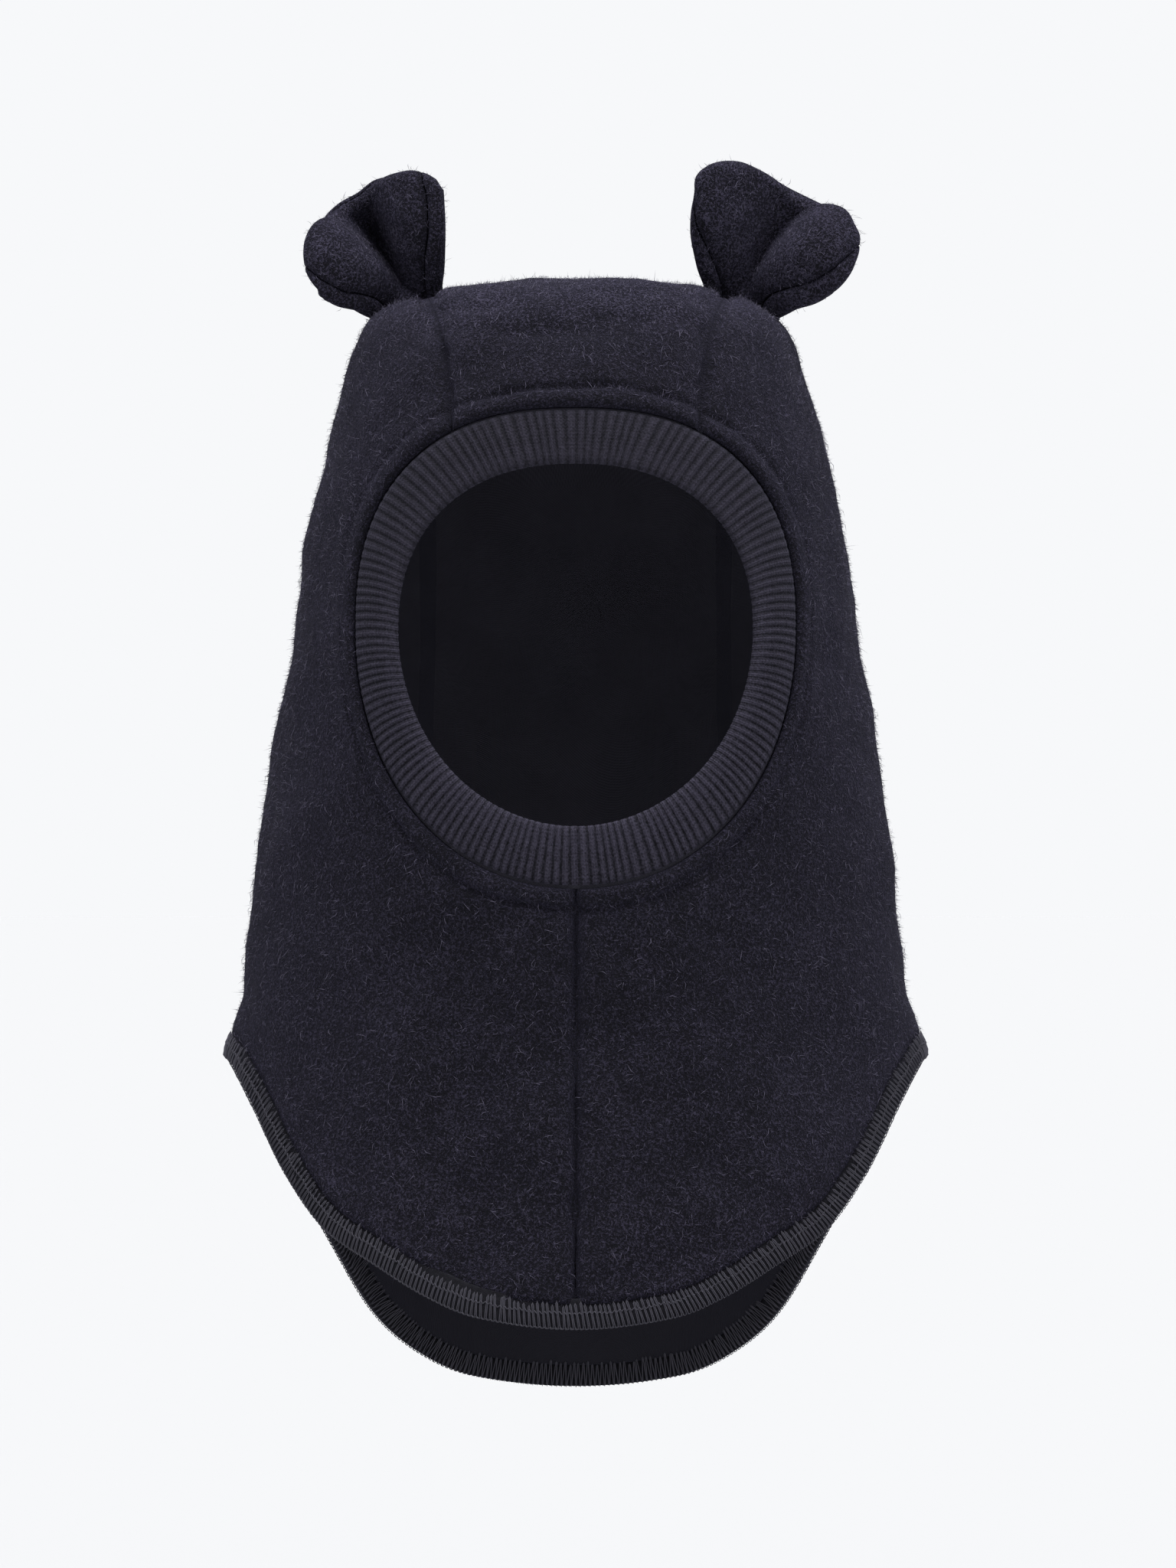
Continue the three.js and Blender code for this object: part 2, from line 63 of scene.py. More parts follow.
# half width, rise, fall, squareness above, squareness below
face_seam = (0.0686, 0.0673, 0.0795, 2.45, 2.1)
face_hole = (0.0552, 0.05, 0.0606, 2.25, 2.0)

# The body's sections from the crown down, as shares of the sizes above.
# along, drop, wide, deep, back, square
section_rows = np.array([
    (-0.05, 0.0017, -0.162, -0.2, 0.075, 2.0),
    (0.0, 0.0, 0.0, 0.0, 0.075, 2.0),
    (0.05, 0.0017, 0.162, 0.2, 0.075, 2.0),
    (0.1, 0.0055, 0.324, 0.39, 0.075, 2.1),
    (0.15, 0.0176, 0.476, 0.553, 0.075, 2.2),
    (0.2, 0.0545, 0.605, 0.698, 0.07, 2.25),
    (0.26, 0.126, 0.671, 0.824, 0.063, 2.25),
    (0.34, 0.2264, 0.735, 0.925, 0.057, 2.25),
    (0.44, 0.348, 0.799, 0.987, 0.05, 2.2),
    (0.55, 0.486, 0.853, 1.0, 0.044, 2.2),
    (0.66, 0.629, 0.897, 0.956, 0.038, 2.2),
    (0.78, 0.784, 0.94, 0.899, 0.025, 2.2),
    (0.9, 0.939, 0.976, 0.893, 0.013, 2.2),
    (1.0, 1.069, 0.995, 0.918, 0.0, 2.2),
    (1.15, 1.258, 1.019, 0.969, 0.0, 2.2),
    (1.3, 1.447, 1.038, 1.031, 0.0, 2.2),
])

# How far the hem has come down from the sides to its lowest point.
# turn from the middle (0) to the side (1), front, back
hem_dips = np.array([
    (-0.24, 0.956, 0.97),
    (0.0, 1.0, 1.0),
    (0.24, 0.956, 0.97),
    (0.36, 0.878, 0.91),
    (0.48, 0.76, 0.782),
    (0.6, 0.628, 0.547),
    (0.7, 0.431, 0.338),
    (0.8, 0.193, 0.151),
    (0.87, 0.071, 0.055),
    (0.93, 0.011, 0.009),
    (1.0, 0.0, 0.0),
])


def mix(a, b, share):
    return a + (b - a) * share


def smooth(low, high, value):
    t = np.clip((value - low) / (high - low), 0, 1)
    return t * t * (3 - 2 * t)


def curve(rows, column, at):
    """A smooth line through one column of a table, straight on past its ends."""
    places, values = rows[:, 0], rows[:, column]
    steps = np.diff(values) / np.diff(places)
    middle = (values[2:] - values[:-2]) / (places[2:] - places[:-2])
    slopes = np.concatenate([steps[:1], middle, steps[-1:]])
    at = np.asarray(at, dtype=float)
    i = np.clip(np.searchsorted(places, at, side="right") - 1, 0, len(places) - 2)
    length = places[i + 1] - places[i]
    t = np.clip((at - places[i]) / length, 0, 1)
    inside = (
        (2 * t**3 - 3 * t**2 + 1) * values[i]
        + (t**3 - 2 * t**2 + t) * length * slopes[i]
        + (3 * t**2 - 2 * t**3) * values[i + 1]
        + (t**3 - t**2) * length * slopes[i + 1]
    )
    before = np.minimum(at - places[0], 0) * slopes[0]
    after = np.maximum(at - places[-1], 0) * slopes[-1]
    return inside + before + after


def solve(low, high, target, measure):
    """Where a rising measure reaches target, for numbers or arrays."""
    low = np.zeros_like(np.asarray(target, dtype=float)) + low
    high = np.zeros_like(low) + high
    for _ in range(40):
        middle = (low + high) / 2
        under = measure(middle) < target
        low, high = np.where(under, middle, low), np.where(under, high, middle)
    return (low + high) / 2


along_steps = np.linspace(0, 2.4, 4801)
drop_steps = side_hem_drop * curve(section_rows, 1, along_steps)


def along_at_drop(drop):
    return np.interp(drop, drop_steps, along_steps)


def section(along):
    return (
        np.maximum(body_half_width * curve(section_rows, 2, along), 1e-7),
        np.maximum(body_half_depth * curve(section_rows, 3, along), 1e-7),
        curve(section_rows, 5, along),
    )


def body_point(x, y):
    """The body's face over a flat disc: its middle is the crown, and -y is the front."""
    along, turn = np.hypot(x, y), np.arctan2(x, -y)
    wide, deep, square = section(along)
    across = (np.abs(np.sin(turn)) / wide) ** square
    forward = (np.abs(np.cos(turn)) / deep) ** square
    radius = (across + forward) ** (-1 / square)
    back = body_half_depth * curve(section_rows, 4, along)
    drop = side_hem_drop * curve(section_rows, 1, along)
    return np.stack(
        [radius * np.sin(turn), back - radius * np.cos(turn), crown_top - drop], axis=-1
    )


def face_ring(ring, around):
    """x and drop at an angle from the top of a ring round the face, seen from the front."""
    half_width, rise, fall, square_top, square_foot = ring
    above = np.cos(around) > 0
    square = np.where(above, square_top, square_foot)
    tall = np.where(above, rise, fall)
    across = (np.abs(np.sin(around)) / half_width) ** square
    upward = (np.abs(np.cos(around)) / tall) ** square
    radius = (across + upward) ** (-1 / square)
    return radius * np.sin(around), face_centre_drop - radius * np.cos(around)


def ring_on_disc(ring, around):
    x, drop = face_ring(ring, around)
    along = along_at_drop(drop)
    wide, deep, square = section(along)
    front = deep * (1 - np.abs(x / wide) ** square) ** (1 / square)
    turn = np.arctan2(x, front)
    return along * np.sin(turn), -along * np.cos(turn)


def hem_at_turn(turn):
    """The hem's edge on the disc, at a turn from the middle of the back."""
    behind = np.cos(turn) > 0
    from_middle = np.arcsin(np.minimum(np.abs(np.sin(turn)), 1)) / (math.pi / 2)
    dip = np.where(behind, curve(hem_dips, 2, from_middle), curve(hem_dips, 1, from_middle))
    lowest = np.where(behind, back_hem_drop, front_hem_drop)
    along = along_at_drop(mix(side_hem_drop, lowest, dip))
    return along * np.sin(turn), along * np.cos(turn)


seam_around = float(solve(0, 1.2, forehead_half_width, lambda a: face_ring(face_seam, a)[0]))
seam_turn = float(
    solve(0, 1.2, back_hem_half_width, lambda a: body_point(*hem_at_turn(a))[..., 0])
)


def hem_turn(around):
    turned = np.abs(around)
    beyond = (turned - seam_around) / (math.pi - seam_around)
    within = turned / seam_around * seam_turn
    return np.sign(around) * np.where(beyond < 0, within, mix(seam_turn, math.pi, beyond))


# How far the middle panel's seams lie outside a straight line on the disc, down from the face.
down_steps = np.linspace(0, 1, 97)
seam_start = ring_on_disc(face_seam, seam_around)
seam_end = hem_at_turn(seam_turn)
seam_width = mix(forehead_half_width, strip_half_width, smooth(0, 0.18, down_steps))
seam_width = mix(seam_width, back_hem_half_width, smooth(0.5, 1, down_steps))
seam_y = mix(seam_start[1], seam_end[1], down_steps)
seam_x = solve(0, 1.5, seam_width, lambda x: body_point(x, seam_y)[..., 0])
seam_pull = seam_x - mix(seam_start[0], seam_end[0], down_steps)


def cloth_point(around, down):
    """The cloth's face. around: 0 over the brow, half a turn at the chin. down: 0 at the face
    seam, 1 at the hem's edge, and to -1 across the face band."""
    around, down = np.broadcast_arrays(np.asarray(around, float), np.asarray(down, float))
    around = np.remainder(around + math.pi, 2 * math.pi) - math.pi
    start = ring_on_disc(face_seam, around)
    fold = ring_on_disc(face_hole, around)
    end = hem_at_turn(hem_turn(around))
    turned = np.abs(around)
    beyond = (math.pi - turned) / (math.pi - seam_around)
    share = np.where(turned < seam_around, turned / seam_around, beyond)
    pull = np.interp(down, down_steps, seam_pull) * (down > 0)
    x = np.where(down > 0, mix(start[0], end[0], down), mix(start[0], fold[0], -down))
    y = np.where(down > 0, mix(start[1], end[1], down), mix(start[1], fold[1], -down))
    point = body_point(x + np.sign(around) * share * pull, y)
    flare = hem_flare * np.sin(hem_turn(around)) ** 16 * smooth(0.88, 1, down)
    point[..., 0] += flare * np.sign(point[..., 0])
    return point


def unit(vectors):
    return vectors / np.maximum(np.linalg.norm(vectors, axis=-1, keepdims=True), 1e-12)


def cloth_slopes(around, down):
    """How the cloth runs, for each turn round the face and each share down it."""
    step = 2e-3
    sideways = (cloth_point(around + step, down) - cloth_point(around - step, down)) / (2 * step)
    low = np.where(down < 0, np.minimum(down + step, -1e-9), down + step)
    high = np.where(down < 0, down - step, np.maximum(down - step, 0))
    downward = (cloth_point(around, low) - cloth_point(around, high)) / (low - high)[..., None]
    return sideways, downward


def cloth_frame(around, down):
    """The cloth's outward normal, and how far one turn and one share down reach."""
    sideways, downward = cloth_slopes(around, down)
    normal = unit(np.cross(sideways, downward))
    slant = np.sum(unit(sideways) * unit(downward), axis=-1)
    square = np.sqrt(np.maximum(1 - slant**2, 0.05))
    reach_around = np.linalg.norm(sideways, axis=-1) * square
    reach_down = np.linalg.norm(downward, axis=-1) * square
    return normal, reach_around, reach_down


ripple_waves = 7  # they run every way through a swell


def ripple(points, size, seed):
    """A smooth random swell, about -1 to 1, whose waves are about size long."""
    rng = np.random.default_rng(seed)
    ways = unit(rng.normal(size=(ripple_waves, 3))) * rng.uniform(0.7, 1.4, (ripple_waves, 1))
    starts = rng.uniform(0, 2 * math.pi, ripple_waves)
    return np.sin(points @ (ways * 2 * math.pi / size).T + starts).mean(axis=-1) * 1.6


def ripples(points, layers, base=0):
    """Swells added to base. layers: how high each is, how long its waves are, and its seed."""
    return sum((high * ripple(points, size, seed) for high, size, seed in layers), base)


def near(distance, reach):
    """1 on a line, and fading to nothing about twice this reach from it."""
    return np.exp(-((distance / reach) ** 2))


def from_panel_seams(around, reach_around):
    """How far a place on the wool is from the nearest seam between two panels."""
    turned = np.abs(around)
    return np.minimum(np.abs(turned - seam_around), math.pi - turned) * reach_around


roll_radius = 0.003  # the wool turns over into a seam within this far of it
roll_depth = 0.002
pull_radius = 0.0055  # and is drawn down towards it from this far off
pull_depth = 0.0017
crown_pull_radius = 0.006  # the strip's seams are drawn down further over the crown
crown_pull_depth = 0.0018
crown_pull_drop = 0.05  # and no longer this far below it
face_roll = (0.0024, 0.0013)  # radius and depth of the roll into the face seam
hem_roll = (0.004, 0.001)  # and of the roll into the overlock
allowance_line = 0.0062  # the sewn-down allowance ends this far outside the face seam
allowance_rise = 0.0006
allowance_slope = 0.002
allowance_dip = 0.0011
allowance_dip_radius = 0.0014
swell_height = 0.0013  # soft unevenness of the cloth
swell_fade = 0.012  # it grows to its full height this far from the face and the hem
seam_wander = 0.0005
seam_wander_wave = 0.012
seam_tightness = 0.72  # how much closer the mesh's rows lie towards the seams
painted_seam_shade_reach = 0.0013  # the wool is darkened by painted shade this far from a seam

# Ripples of the wool: how high, how long, and a seed. The height is in metres for the
# allowance's line and the fine ones, and for the others it is a share.
pucker_ripples = [(0.45, 0.009, 11), (0.25, 0.02, 12)]
allowance_ripples = [(0.35, 0.03, 13)]
allowance_line_ripples = [(0.0006, 0.025, 14)]
allowance_dip_ripples = [(0.4, 0.008, 19)]
swell_ripples = [(0.6, 0.05, 15), (0.4, 0.022, 16)]
fine_ripples = [(0.00022, 0.009, 17), (0.00012, 0.005, 18)]

# Soft dents and creases seen in the front's wool: x, drop, half width, half height, depth.
# They fade towards the back and towards the face seam.
dents_end_y = 0.035
dents_from_face = (0.004, 0.016)
wool_dents = [
    (-0.083, 0.118, 0.013, 0.045, 0.0026),
    (0.085, 0.125, 0.012, 0.05, 0.0024),
    (-0.033, 0.262, 0.013, 0.055, 0.0026),
    (0.07, 0.215, 0.02, 0.035, 0.0014),
    (-0.075, 0.225, 0.02, 0.03, 0.0012),
    (-0.012, 0.0165, 0.024, 0.0026, 0.0013),
    (0.02, 0.013, 0.018, 0.0022, 0.001),
    (-0.03, 0.0095, 0.01, 0.002, 0.001),
    (-0.048, 0.016, 0.004, 0.012, 0.0012),
]


def rolled(distance, radius, depth):
    """How far a face sinks this far from the edge that it rolls over."""
    t = np.clip(1 - distance / radius, 0, 1)
    return -depth * (1 - np.sqrt(1 - t * t))


def drawn_down(distance, radius, depth):
    """How far cloth is pulled in this far from a line of stitches."""
    return -depth * np.clip(1 - distance / radius, 0, 1) ** 2


def wool_relief(around, down, point, reach_around, reach_down):
    """How far the wool's face stands off the plain form."""
    fallen = crown_top - point[..., 2]
    from_face = np.maximum(down, 0) * reach_down
    from_hem = np.maximum((1 - down) * reach_down - overlock_width, 0)
    from_strip = np.abs(np.abs(around) - seam_around) * reach_around
    from_seam = from_panel_seams(around, reach_around)
    pucker = ripples(point, pucker_ripples, 1)
    sunk = rolled(from_seam, roll_radius, roll_depth)
    sunk = sunk + drawn_down(from_seam, pull_radius, pull_depth) * pucker
    over_crown = smooth(crown_pull_drop, 0.0, fallen)
    sunk = sunk - crown_pull_depth * over_crown * near(from_strip, crown_pull_radius) * pucker
    sunk = np.minimum(sunk, rolled(from_face, *face_roll))
    sunk = np.minimum(sunk, rolled(from_hem, *hem_roll))
    above_or_below = 0.5 + 0.5 * np.abs(np.cos(around)) ** 3
    sewn_down = above_or_below * ripples(point, allowance_ripples, 1)
    line = ripples(point, allowance_line_ripples, allowance_line)
    raised = allowance_rise * smooth(0, allowance_slope, from_face)
    raised = raised * smooth(0, allowance_slope, line - from_face)
    dip = -allowance_dip * near(from_face - line, allowance_dip_radius)
    dip = dip * ripples(point, allowance_dip_ripples, 1)
    swell = swell_height * ripples(point, swell_ripples)
    swell = swell * smooth(0, swell_fade, np.minimum(from_face, from_hem))
    dented = np.zeros_like(from_face)
    for x, drop, wide, tall, depth in wool_dents:
        far = ((point[..., 0] - x) / wide) ** 2 + ((fallen - drop) / tall) ** 2
        dented -= depth * np.exp(-far) * smooth(dents_end_y, 0.0, point[..., 1])
    dented = dented * smooth(*dents_from_face, from_face)
    return sunk + (raised + dip) * sewn_down + swell + ripples(point, fine_ripples) + dented


def wool_face(around, down):
    """The wool's face with its relief, and its normal."""
    point = cloth_point(around, down)
    normal, reach_around, reach_down = cloth_frame(around, down)
    relief = wool_relief(around, down, point, reach_around, reach_down)
    return point + normal * relief[..., None], normal


just_inside_hem = 0.999  # the share down where the cloth is measured for the hem


def hem_share(around, distance):
    """How far down a line lies that keeps its distance from the hem's edge."""
    _, _, reach_down = cloth_frame(around, just_inside_hem)
    return 1 - distance / reach_down


def read_points(obj):
    points = np.empty(len(obj.data.vertices) * 3)
    obj.data.vertices.foreach_get("co", points)
    return points.reshape(-1, 3)


def write_points(obj, points):
    obj.data.vertices.foreach_set("co", np.ascontiguousarray(points, dtype=np.float32).ravel())
    obj.data.update()


def write_uv(obj, u, v):
    """Writes the first UV map from one pair of lengths for each corner point."""
    corner = np.empty(len(obj.data.loops), dtype=np.int32)
    obj.data.loops.foreach_get("vertex_index", corner)
    pairs = np.stack([u, v], axis=-1)[corner]
    obj.data.uv_layers[0].data.foreach_set("uv", pairs.astype(np.float32).ravel())


def write_shade(obj, shade):
    """Keeps how much painted shade darkens each point near a seam, for the wool's material."""
    layer = obj.data.attributes.new("painted_seam_shade", "FLOAT", "POINT")
    layer.data.foreach_set("value", shade.astype(np.float32))


def new_primitive(name, add, **settings):
    bpy.ops.object.select_all(action="DESELECT")
    add(**settings)
    obj = bpy.context.object
    obj.name = name
    obj.data.name = name
    return obj


def apply_modifier(obj, kind, **settings):
    bpy.context.view_layer.objects.active = obj
    modifier = obj.modifiers.new(kind.title(), kind)
    for key, value in settings.items():
        setattr(modifier, key, value)
    bpy.ops.object.modifier_apply(modifier=modifier.name)


def close_up(obj):
    """Merges points that meet, turns the faces of a closed mesh outwards and shades it smooth."""
    bpy.context.view_layer.objects.active = obj
    bpy.ops.object.mode_set(mode="EDIT")
    bpy.ops.mesh.select_all(action="SELECT")
    bpy.ops.mesh.remove_doubles(threshold=1e-6)
    bpy.ops.mesh.normals_make_consistent(inside=False)
    bpy.ops.mesh.faces_shade_smooth()
    bpy.ops.object.mode_set(mode="OBJECT")


def packed(share, tight):
    """Spreads even shares so that the steps at both ends are narrower."""
    return share - tight * np.sin(2 * math.pi * share) / (2 * math.pi)


def packed_start(share, tight):
    """Spreads even shares so that the steps at the start are narrower."""
    return share - tight * np.sin(math.pi * share) / math.pi


def cloth_sheet(name, columns, rows, face, back):
    """A grid laid on face(u, v), thickened, and its inner side laid on back(u, v)."""
    add = bpy.ops.mesh.primitive_grid_add
    obj = new_primitive(name, add, x_subdivisions=columns, y_subdivisions=rows, size=2)
    flat = read_points(obj)
    u, v = (flat[:, 0] + 1) / 2, (flat[:, 1] + 1) / 2
    outer, length_u, length_v, painted_seam_shade = face(u, v)
    write_points(obj, outer)
    write_uv(obj, length_u, length_v)
    write_shade(obj, painted_seam_shade)
    apply_modifier(obj, "SOLIDIFY", thickness=0.001, offset=-1.0, use_even_offset=False)
    points = read_points(obj)
    count = len(u)
    points[:count] = outer
    points[count:] = back(u, v)
    write_points(obj, points)
    close_up(obj)
    return obj


def operator(operation, other_first=False):
    """A method of Signal that adds one Math node."""
    if other_first:
        return lambda self, other: self.math(operation, other, self)
    return lambda self, other: self.math(operation, self, other)


class Signal:
    """A shader value. Python's operators on it add Math nodes."""

    __add__, __radd__ = operator("ADD"), operator("ADD", True)
    __sub__, __rsub__ = operator("SUBTRACT"), operator("SUBTRACT", True)
    __mul__, __rmul__ = operator("MULTIPLY"), operator("MULTIPLY", True)
    __truediv__ = operator("DIVIDE")
    at_least = operator("MAXIMUM")

    def __init__(self, tree, socket):
        self.tree = tree
        self.socket = socket

    def node(self, kind, settings=None, output=0, **inputs):
        node = self.tree.nodes.new(kind)
        for key, value in (settings or {}).items():
            setattr(node, key, value)
        for key, value in inputs.items():
            place = int(key[1:]) if key[0] == "_" else key.replace("_", " ")
            if isinstance(value, Signal):
                self.tree.links.new(value.socket, node.inputs[place])
            else:
                node.inputs[place].default_value = value
        return Signal(self.tree, node.outputs[output])

    def math(self, operation, *values):
        inputs = {f"_{i}": value for i, value in enumerate(values)}
        return self.node("ShaderNodeMath", {"operation": operation}, **inputs)

    def __abs__(self):
        return self.math("ABSOLUTE", self)

    def vector(self, operation, **inputs):
        return self.node("ShaderNodeVectorMath", {"operation": operation}, _0=self, **inputs)

    def moved(self, amount):
        """Coordinates moved by a fixed amount."""
        return self.vector("ADD", _1=(amount,) * 3)

    def wave(self):
        return self.math("SINE", self)

    def even_wave(self, waves=1):
        """0 at every whole number, and so many waves between."""
        return 0.5 - self.math("COSINE", self * (2 * waves * math.pi)) * 0.5

    def between(self, low, high):
        """0 below low, 1 above high, and smooth between."""
        return self.node(
            "ShaderNodeMapRange",
            {"interpolation_type": "SMOOTHSTEP"},
            Value=self,
            From_Min=low,
            From_Max=high,
        )

    def noise(self, scale, detail=2.0, roughness=0.5, output=0):
        return self.node(
            "ShaderNodeTexNoise",
            output=output,
            Vector=self,
            Scale=scale,
            Detail=detail,
            Roughness=roughness,
        )

    def shifted(self, other, amount):
        """Coordinates moved by a colour's distance from grey."""
        centred = other.vector("SUBTRACT", _1=(0.5,) * 3)
        return self.vector("ADD", _1=centred.vector("SCALE", Scale=amount))

    def tint(self, low, high):
        """A colour from low at 0 to high at 1."""
        return self.node(
            "ShaderNodeMix",
            {"data_type": "RGBA", "clamp_factor": True},
            output=2,
            _0=self,
            _6=(*low, 1.0),
            _7=(*high, 1.0),
        )

    def parts(self, index):
        return self.node("ShaderNodeSeparateXYZ", output=index, Vector=self)


def new_material(name, values):
    """A material, and its shader node with these values on its sockets."""
    material = bpy.data.materials.new(name)
    material.use_nodes = True
    shader = material.node_tree.nodes["Principled BSDF"]
    for socket, value in values.items():
        shader.inputs[socket].default_value = value
    return material, shader


cloth_specular = 0.08
sheen_roughness = 0.55


def new_cloth(name, roughness, sheen, sheen_tint):
    """A cloth material, its shader node, and its UV and object coordinates as signals."""
    material, shader = new_material(name, {
        "Roughness": roughness,
        "Specular IOR Level": cloth_specular,
        "Sheen Weight": sheen,
        "Sheen Roughness": sheen_roughness,
        "Sheen Tint": (*sheen_tint, 1.0),
    })
    tree = material.node_tree
    outputs = tree.nodes.new("ShaderNodeTexCoord").outputs
    return material, shader, Signal(tree, outputs["UV"]), Signal(tree, outputs["Object"])


def finish_cloth(shader, colour, height, depth):
    """Links a colour, and a height as a bump this deep in metres."""
    tree = shader.id_data
    tree.links.new(colour.socket, shader.inputs["Base Color"])
    bump = height.node("ShaderNodeBump", Strength=1.0, Distance=depth, Height=height)
    tree.links.new(bump.socket, shader.inputs["Normal"])


wool_dark = (0.0043, 0.0041, 0.0052)
wool_light = (0.0455, 0.0413, 0.0665)

# Matted hairs: how many waves to a metre, the hair's share of a wave, and the pattern's place
hair_layers = [(300, 0.03, 0.3), (430, 0.036, 1.7), (640, 0.05, 3.9), (900, 0.065, 5.3)]
hair_curl = 0.0007  # how far a hair's line is bent aside, in metres
mottle_contrast = 4.2
hair_contrast = 0.5
cloud_contrast = 0.35
patch_contrast = 0.4
# How much painted shade darkens the wool in its seams
painted_seam_shade_strength = 0.7
wool_depth = 0.0011  # of the bump
# The wool's tone has a painted highlight on the crown, and painted shade everywhere above the hem so
# that the hem looks lit from the floor: how much, and from what to what height
wool_tone = 1.34
painted_crown_highlight = (1.9, -0.016, 0.0)
painted_shade_above_hem = (0.34, -0.3, -0.2)


def wool_cloth(name):
    """Brushed wool: fine matted hairs curling every way over a felted ground, cloudy in tone."""
    material, shader, _, place = new_cloth(name, 0.95, sheen=0.085, sheen_tint=(0.42, 0.4, 0.72))
    bent = place.shifted(place.noise(900, detail=1, output=1), hair_curl)
    curls = None
    for waves, width, shift in hair_layers:
        lying = bent.moved(shift)
        line = 1 - abs(lying.noise(waves, detail=0) - 0.5) / width
        line = line.at_least(0) * lying.moved(0.5).noise(waves * 0.8, detail=0).between(0.46, 0.6)
        curls = line if curls is None else curls.at_least(line)
    mottle = place.noise(1350, detail=3, roughness=0.75)
    cloud = place.noise(24, detail=3, roughness=0.55)
    patch = place.noise(95, detail=2, roughness=0.6)
    # Painted shade along the seams, kept on each piece as a point attribute
    painted_seam_shade = place.node("ShaderNodeAttribute", {"attribute_name": "painted_seam_shade"}, output=2)
    tone = (mottle - 0.5) * mottle_contrast - 0.05 + curls * hair_contrast
    tone = tone + (cloud - 0.5) * cloud_contrast + (patch - 0.5) * patch_contrast
    height = place.parts(2)
    # Painted light: a painted highlight on the crown, and painted shade over all of the wool above the
    # hem
    crown = height.between(*painted_crown_highlight[1:]) * painted_crown_highlight[0]
    shade_painted_above_hem = height.between(*painted_shade_above_hem[1:]) * painted_shade_above_hem[0]
    tone = tone * (1 - painted_seam_shade * painted_seam_shade_strength) * (wool_tone + crown - shade_painted_above_hem)
    finish_cloth(shader, tone.tint(wool_dark, wool_light), curls * 0.6 + mottle, wool_depth)
    return material


wool = wool_cloth("brushed_wool")


def panel_face(start, end):
    """The face of a panel between two seams, u across it and v from the face to the hem."""

    def face(u, v):
        around = mix(start, end, packed(u, seam_tightness))
        _, reach, _ = cloth_frame(around, 0.5)
        reach = np.maximum(reach, 0.01)
        inset = cloth_gap / 2 / reach
        around = np.clip(around, start + inset, end - inset)
        last = hem_share(around, overlock_width + cloth_gap)
        down = packed_start(v, seam_tightness) * last
        for edge, share in ((start, (1 - u) ** 8), (end, u**8)):
            wander = seam_wander * ripple(cloth_point(edge, down), seam_wander_wave, 21)
            around = around + wander / reach * share
        points, _ = wool_face(around, down)
        _, reach_around, reach_down = cloth_frame(around, down)
        middle = (start + end) / 2
        from_seam = np.minimum(around - start, end - around) * reach_around
        # Painted shade along the panel's seams
        painted_seam_shade = near(from_seam, painted_seam_shade_reach)
        return points, (around - middle) * reach_around, down * reach_down, painted_seam_shade

    def back(u, v):
        around = mix(start, end, packed(u, seam_tightness))
        last = hem_share(around, overlock_width + cloth_gap)
        down = packed_start(v, seam_tightness) * last
        normal, _, _ = cloth_frame(around, down)
        return cloth_point(around, down) - normal * wool_thickness

    return face, back


wool_panels = {
    # first seam, last seam, columns, rows, flat width and length, flat area
    "middle_panel": (-seam_around, seam_around, 46, 200, (0.098, 0.48), 0.0436),
    "side_panel_right": (seam_around, math.pi, 90, 134, (0.255, 0.33), 0.0482),
    "side_panel_left": (-math.pi, -seam_around, 90, 134, (0.255, 0.33), 0.0482),
}
for node, (start, end, columns, rows, flat, area) in wool_panels.items():
    piece = cloth_sheet(f"wool_{node}", columns, rows, *panel_face(start, end))
    piece.data.materials.append(wool)
    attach(piece, "root")
    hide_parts(node)


# The lining: a fine, smooth jersey cut like the wool, seen inside the face opening and inside
# the longer back. It is caught in the face seam and in the overlocked hem.

lining_offset = wool_thickness + cloth_gap
lining_tuck = -0.12  # it runs this share of the band's width on behind the band
lining_overlap = 0.0009  # it runs on this far under the overlock
lining_slack = 0.0008  # it hangs this far loose, and unevenly
slack_ripples = [(0.0011, 0.045, 31), (0.0005, 0.018, 32)]


def ring_of(name, columns, loop):
    """A grid rolled up into a ring whose cross section is led along loop(around, share)."""
    count = len(loop_shares[name])
    add = bpy.ops.mesh.primitive_grid_add
    obj = new_primitive(name, add, x_subdivisions=columns, y_subdivisions=count, size=2)
    flat = read_points(obj)
    column = np.round((flat[:, 0] + 1) / 2 * columns)
    row = np.round((flat[:, 1] + 1) / 2 * count).astype(int)
    points, u, v = loop(column / columns * 2 * math.pi, loop_shares[name][row % count])
    write_points(obj, points)
    write_uv(obj, u, v)
    close_up(obj)
    return obj


def there_and_back(out_rows, back_rows, tight):
    """Shares of a loop: 0 to 1 along its outer side, and 1 to 2 back along its inner side."""
    out = packed((np.arange(out_rows) + 0.5) / out_rows, tight)
    back = packed((np.arange(back_rows) + 0.5) / back_rows, tight)
    return np.concatenate([out, 1 + back])


loop_shares = {"jersey_lining": there_and_back(50, 60, 0.88)}


def lining_loop(around, share):
    along = np.where(share < 1, share, 2 - share)
    last = hem_share(around, overlock_width - lining_overlap)
    down = mix(lining_tuck, last, along)
    down = np.where(np.abs(down) < 1e-6, 1e-6, down)
    normal, reach_around, reach_down = cloth_frame(around, down)
    point = cloth_point(around, down)
    inside = share >= 1
    loose = lining_slack + ripples(point, slack_ripples)
    loose = loose * smooth(0.02, 0.12, along) * smooth(0, 0.1, 1 - along)
    depth = lining_offset + np.where(inside, lining_thickness + loose, 0)
    return point - normal * depth[..., None], (around - math.pi) * reach_around, down * reach_down


lining = ring_of("jersey_lining", 144, lining_loop)


jersey_dark = (0.0068, 0.0066, 0.009)
jersey_light = (0.122, 0.118, 0.155)
jersey_wale, jersey_course = 0.0009, 0.0008  # width and height of a stitch


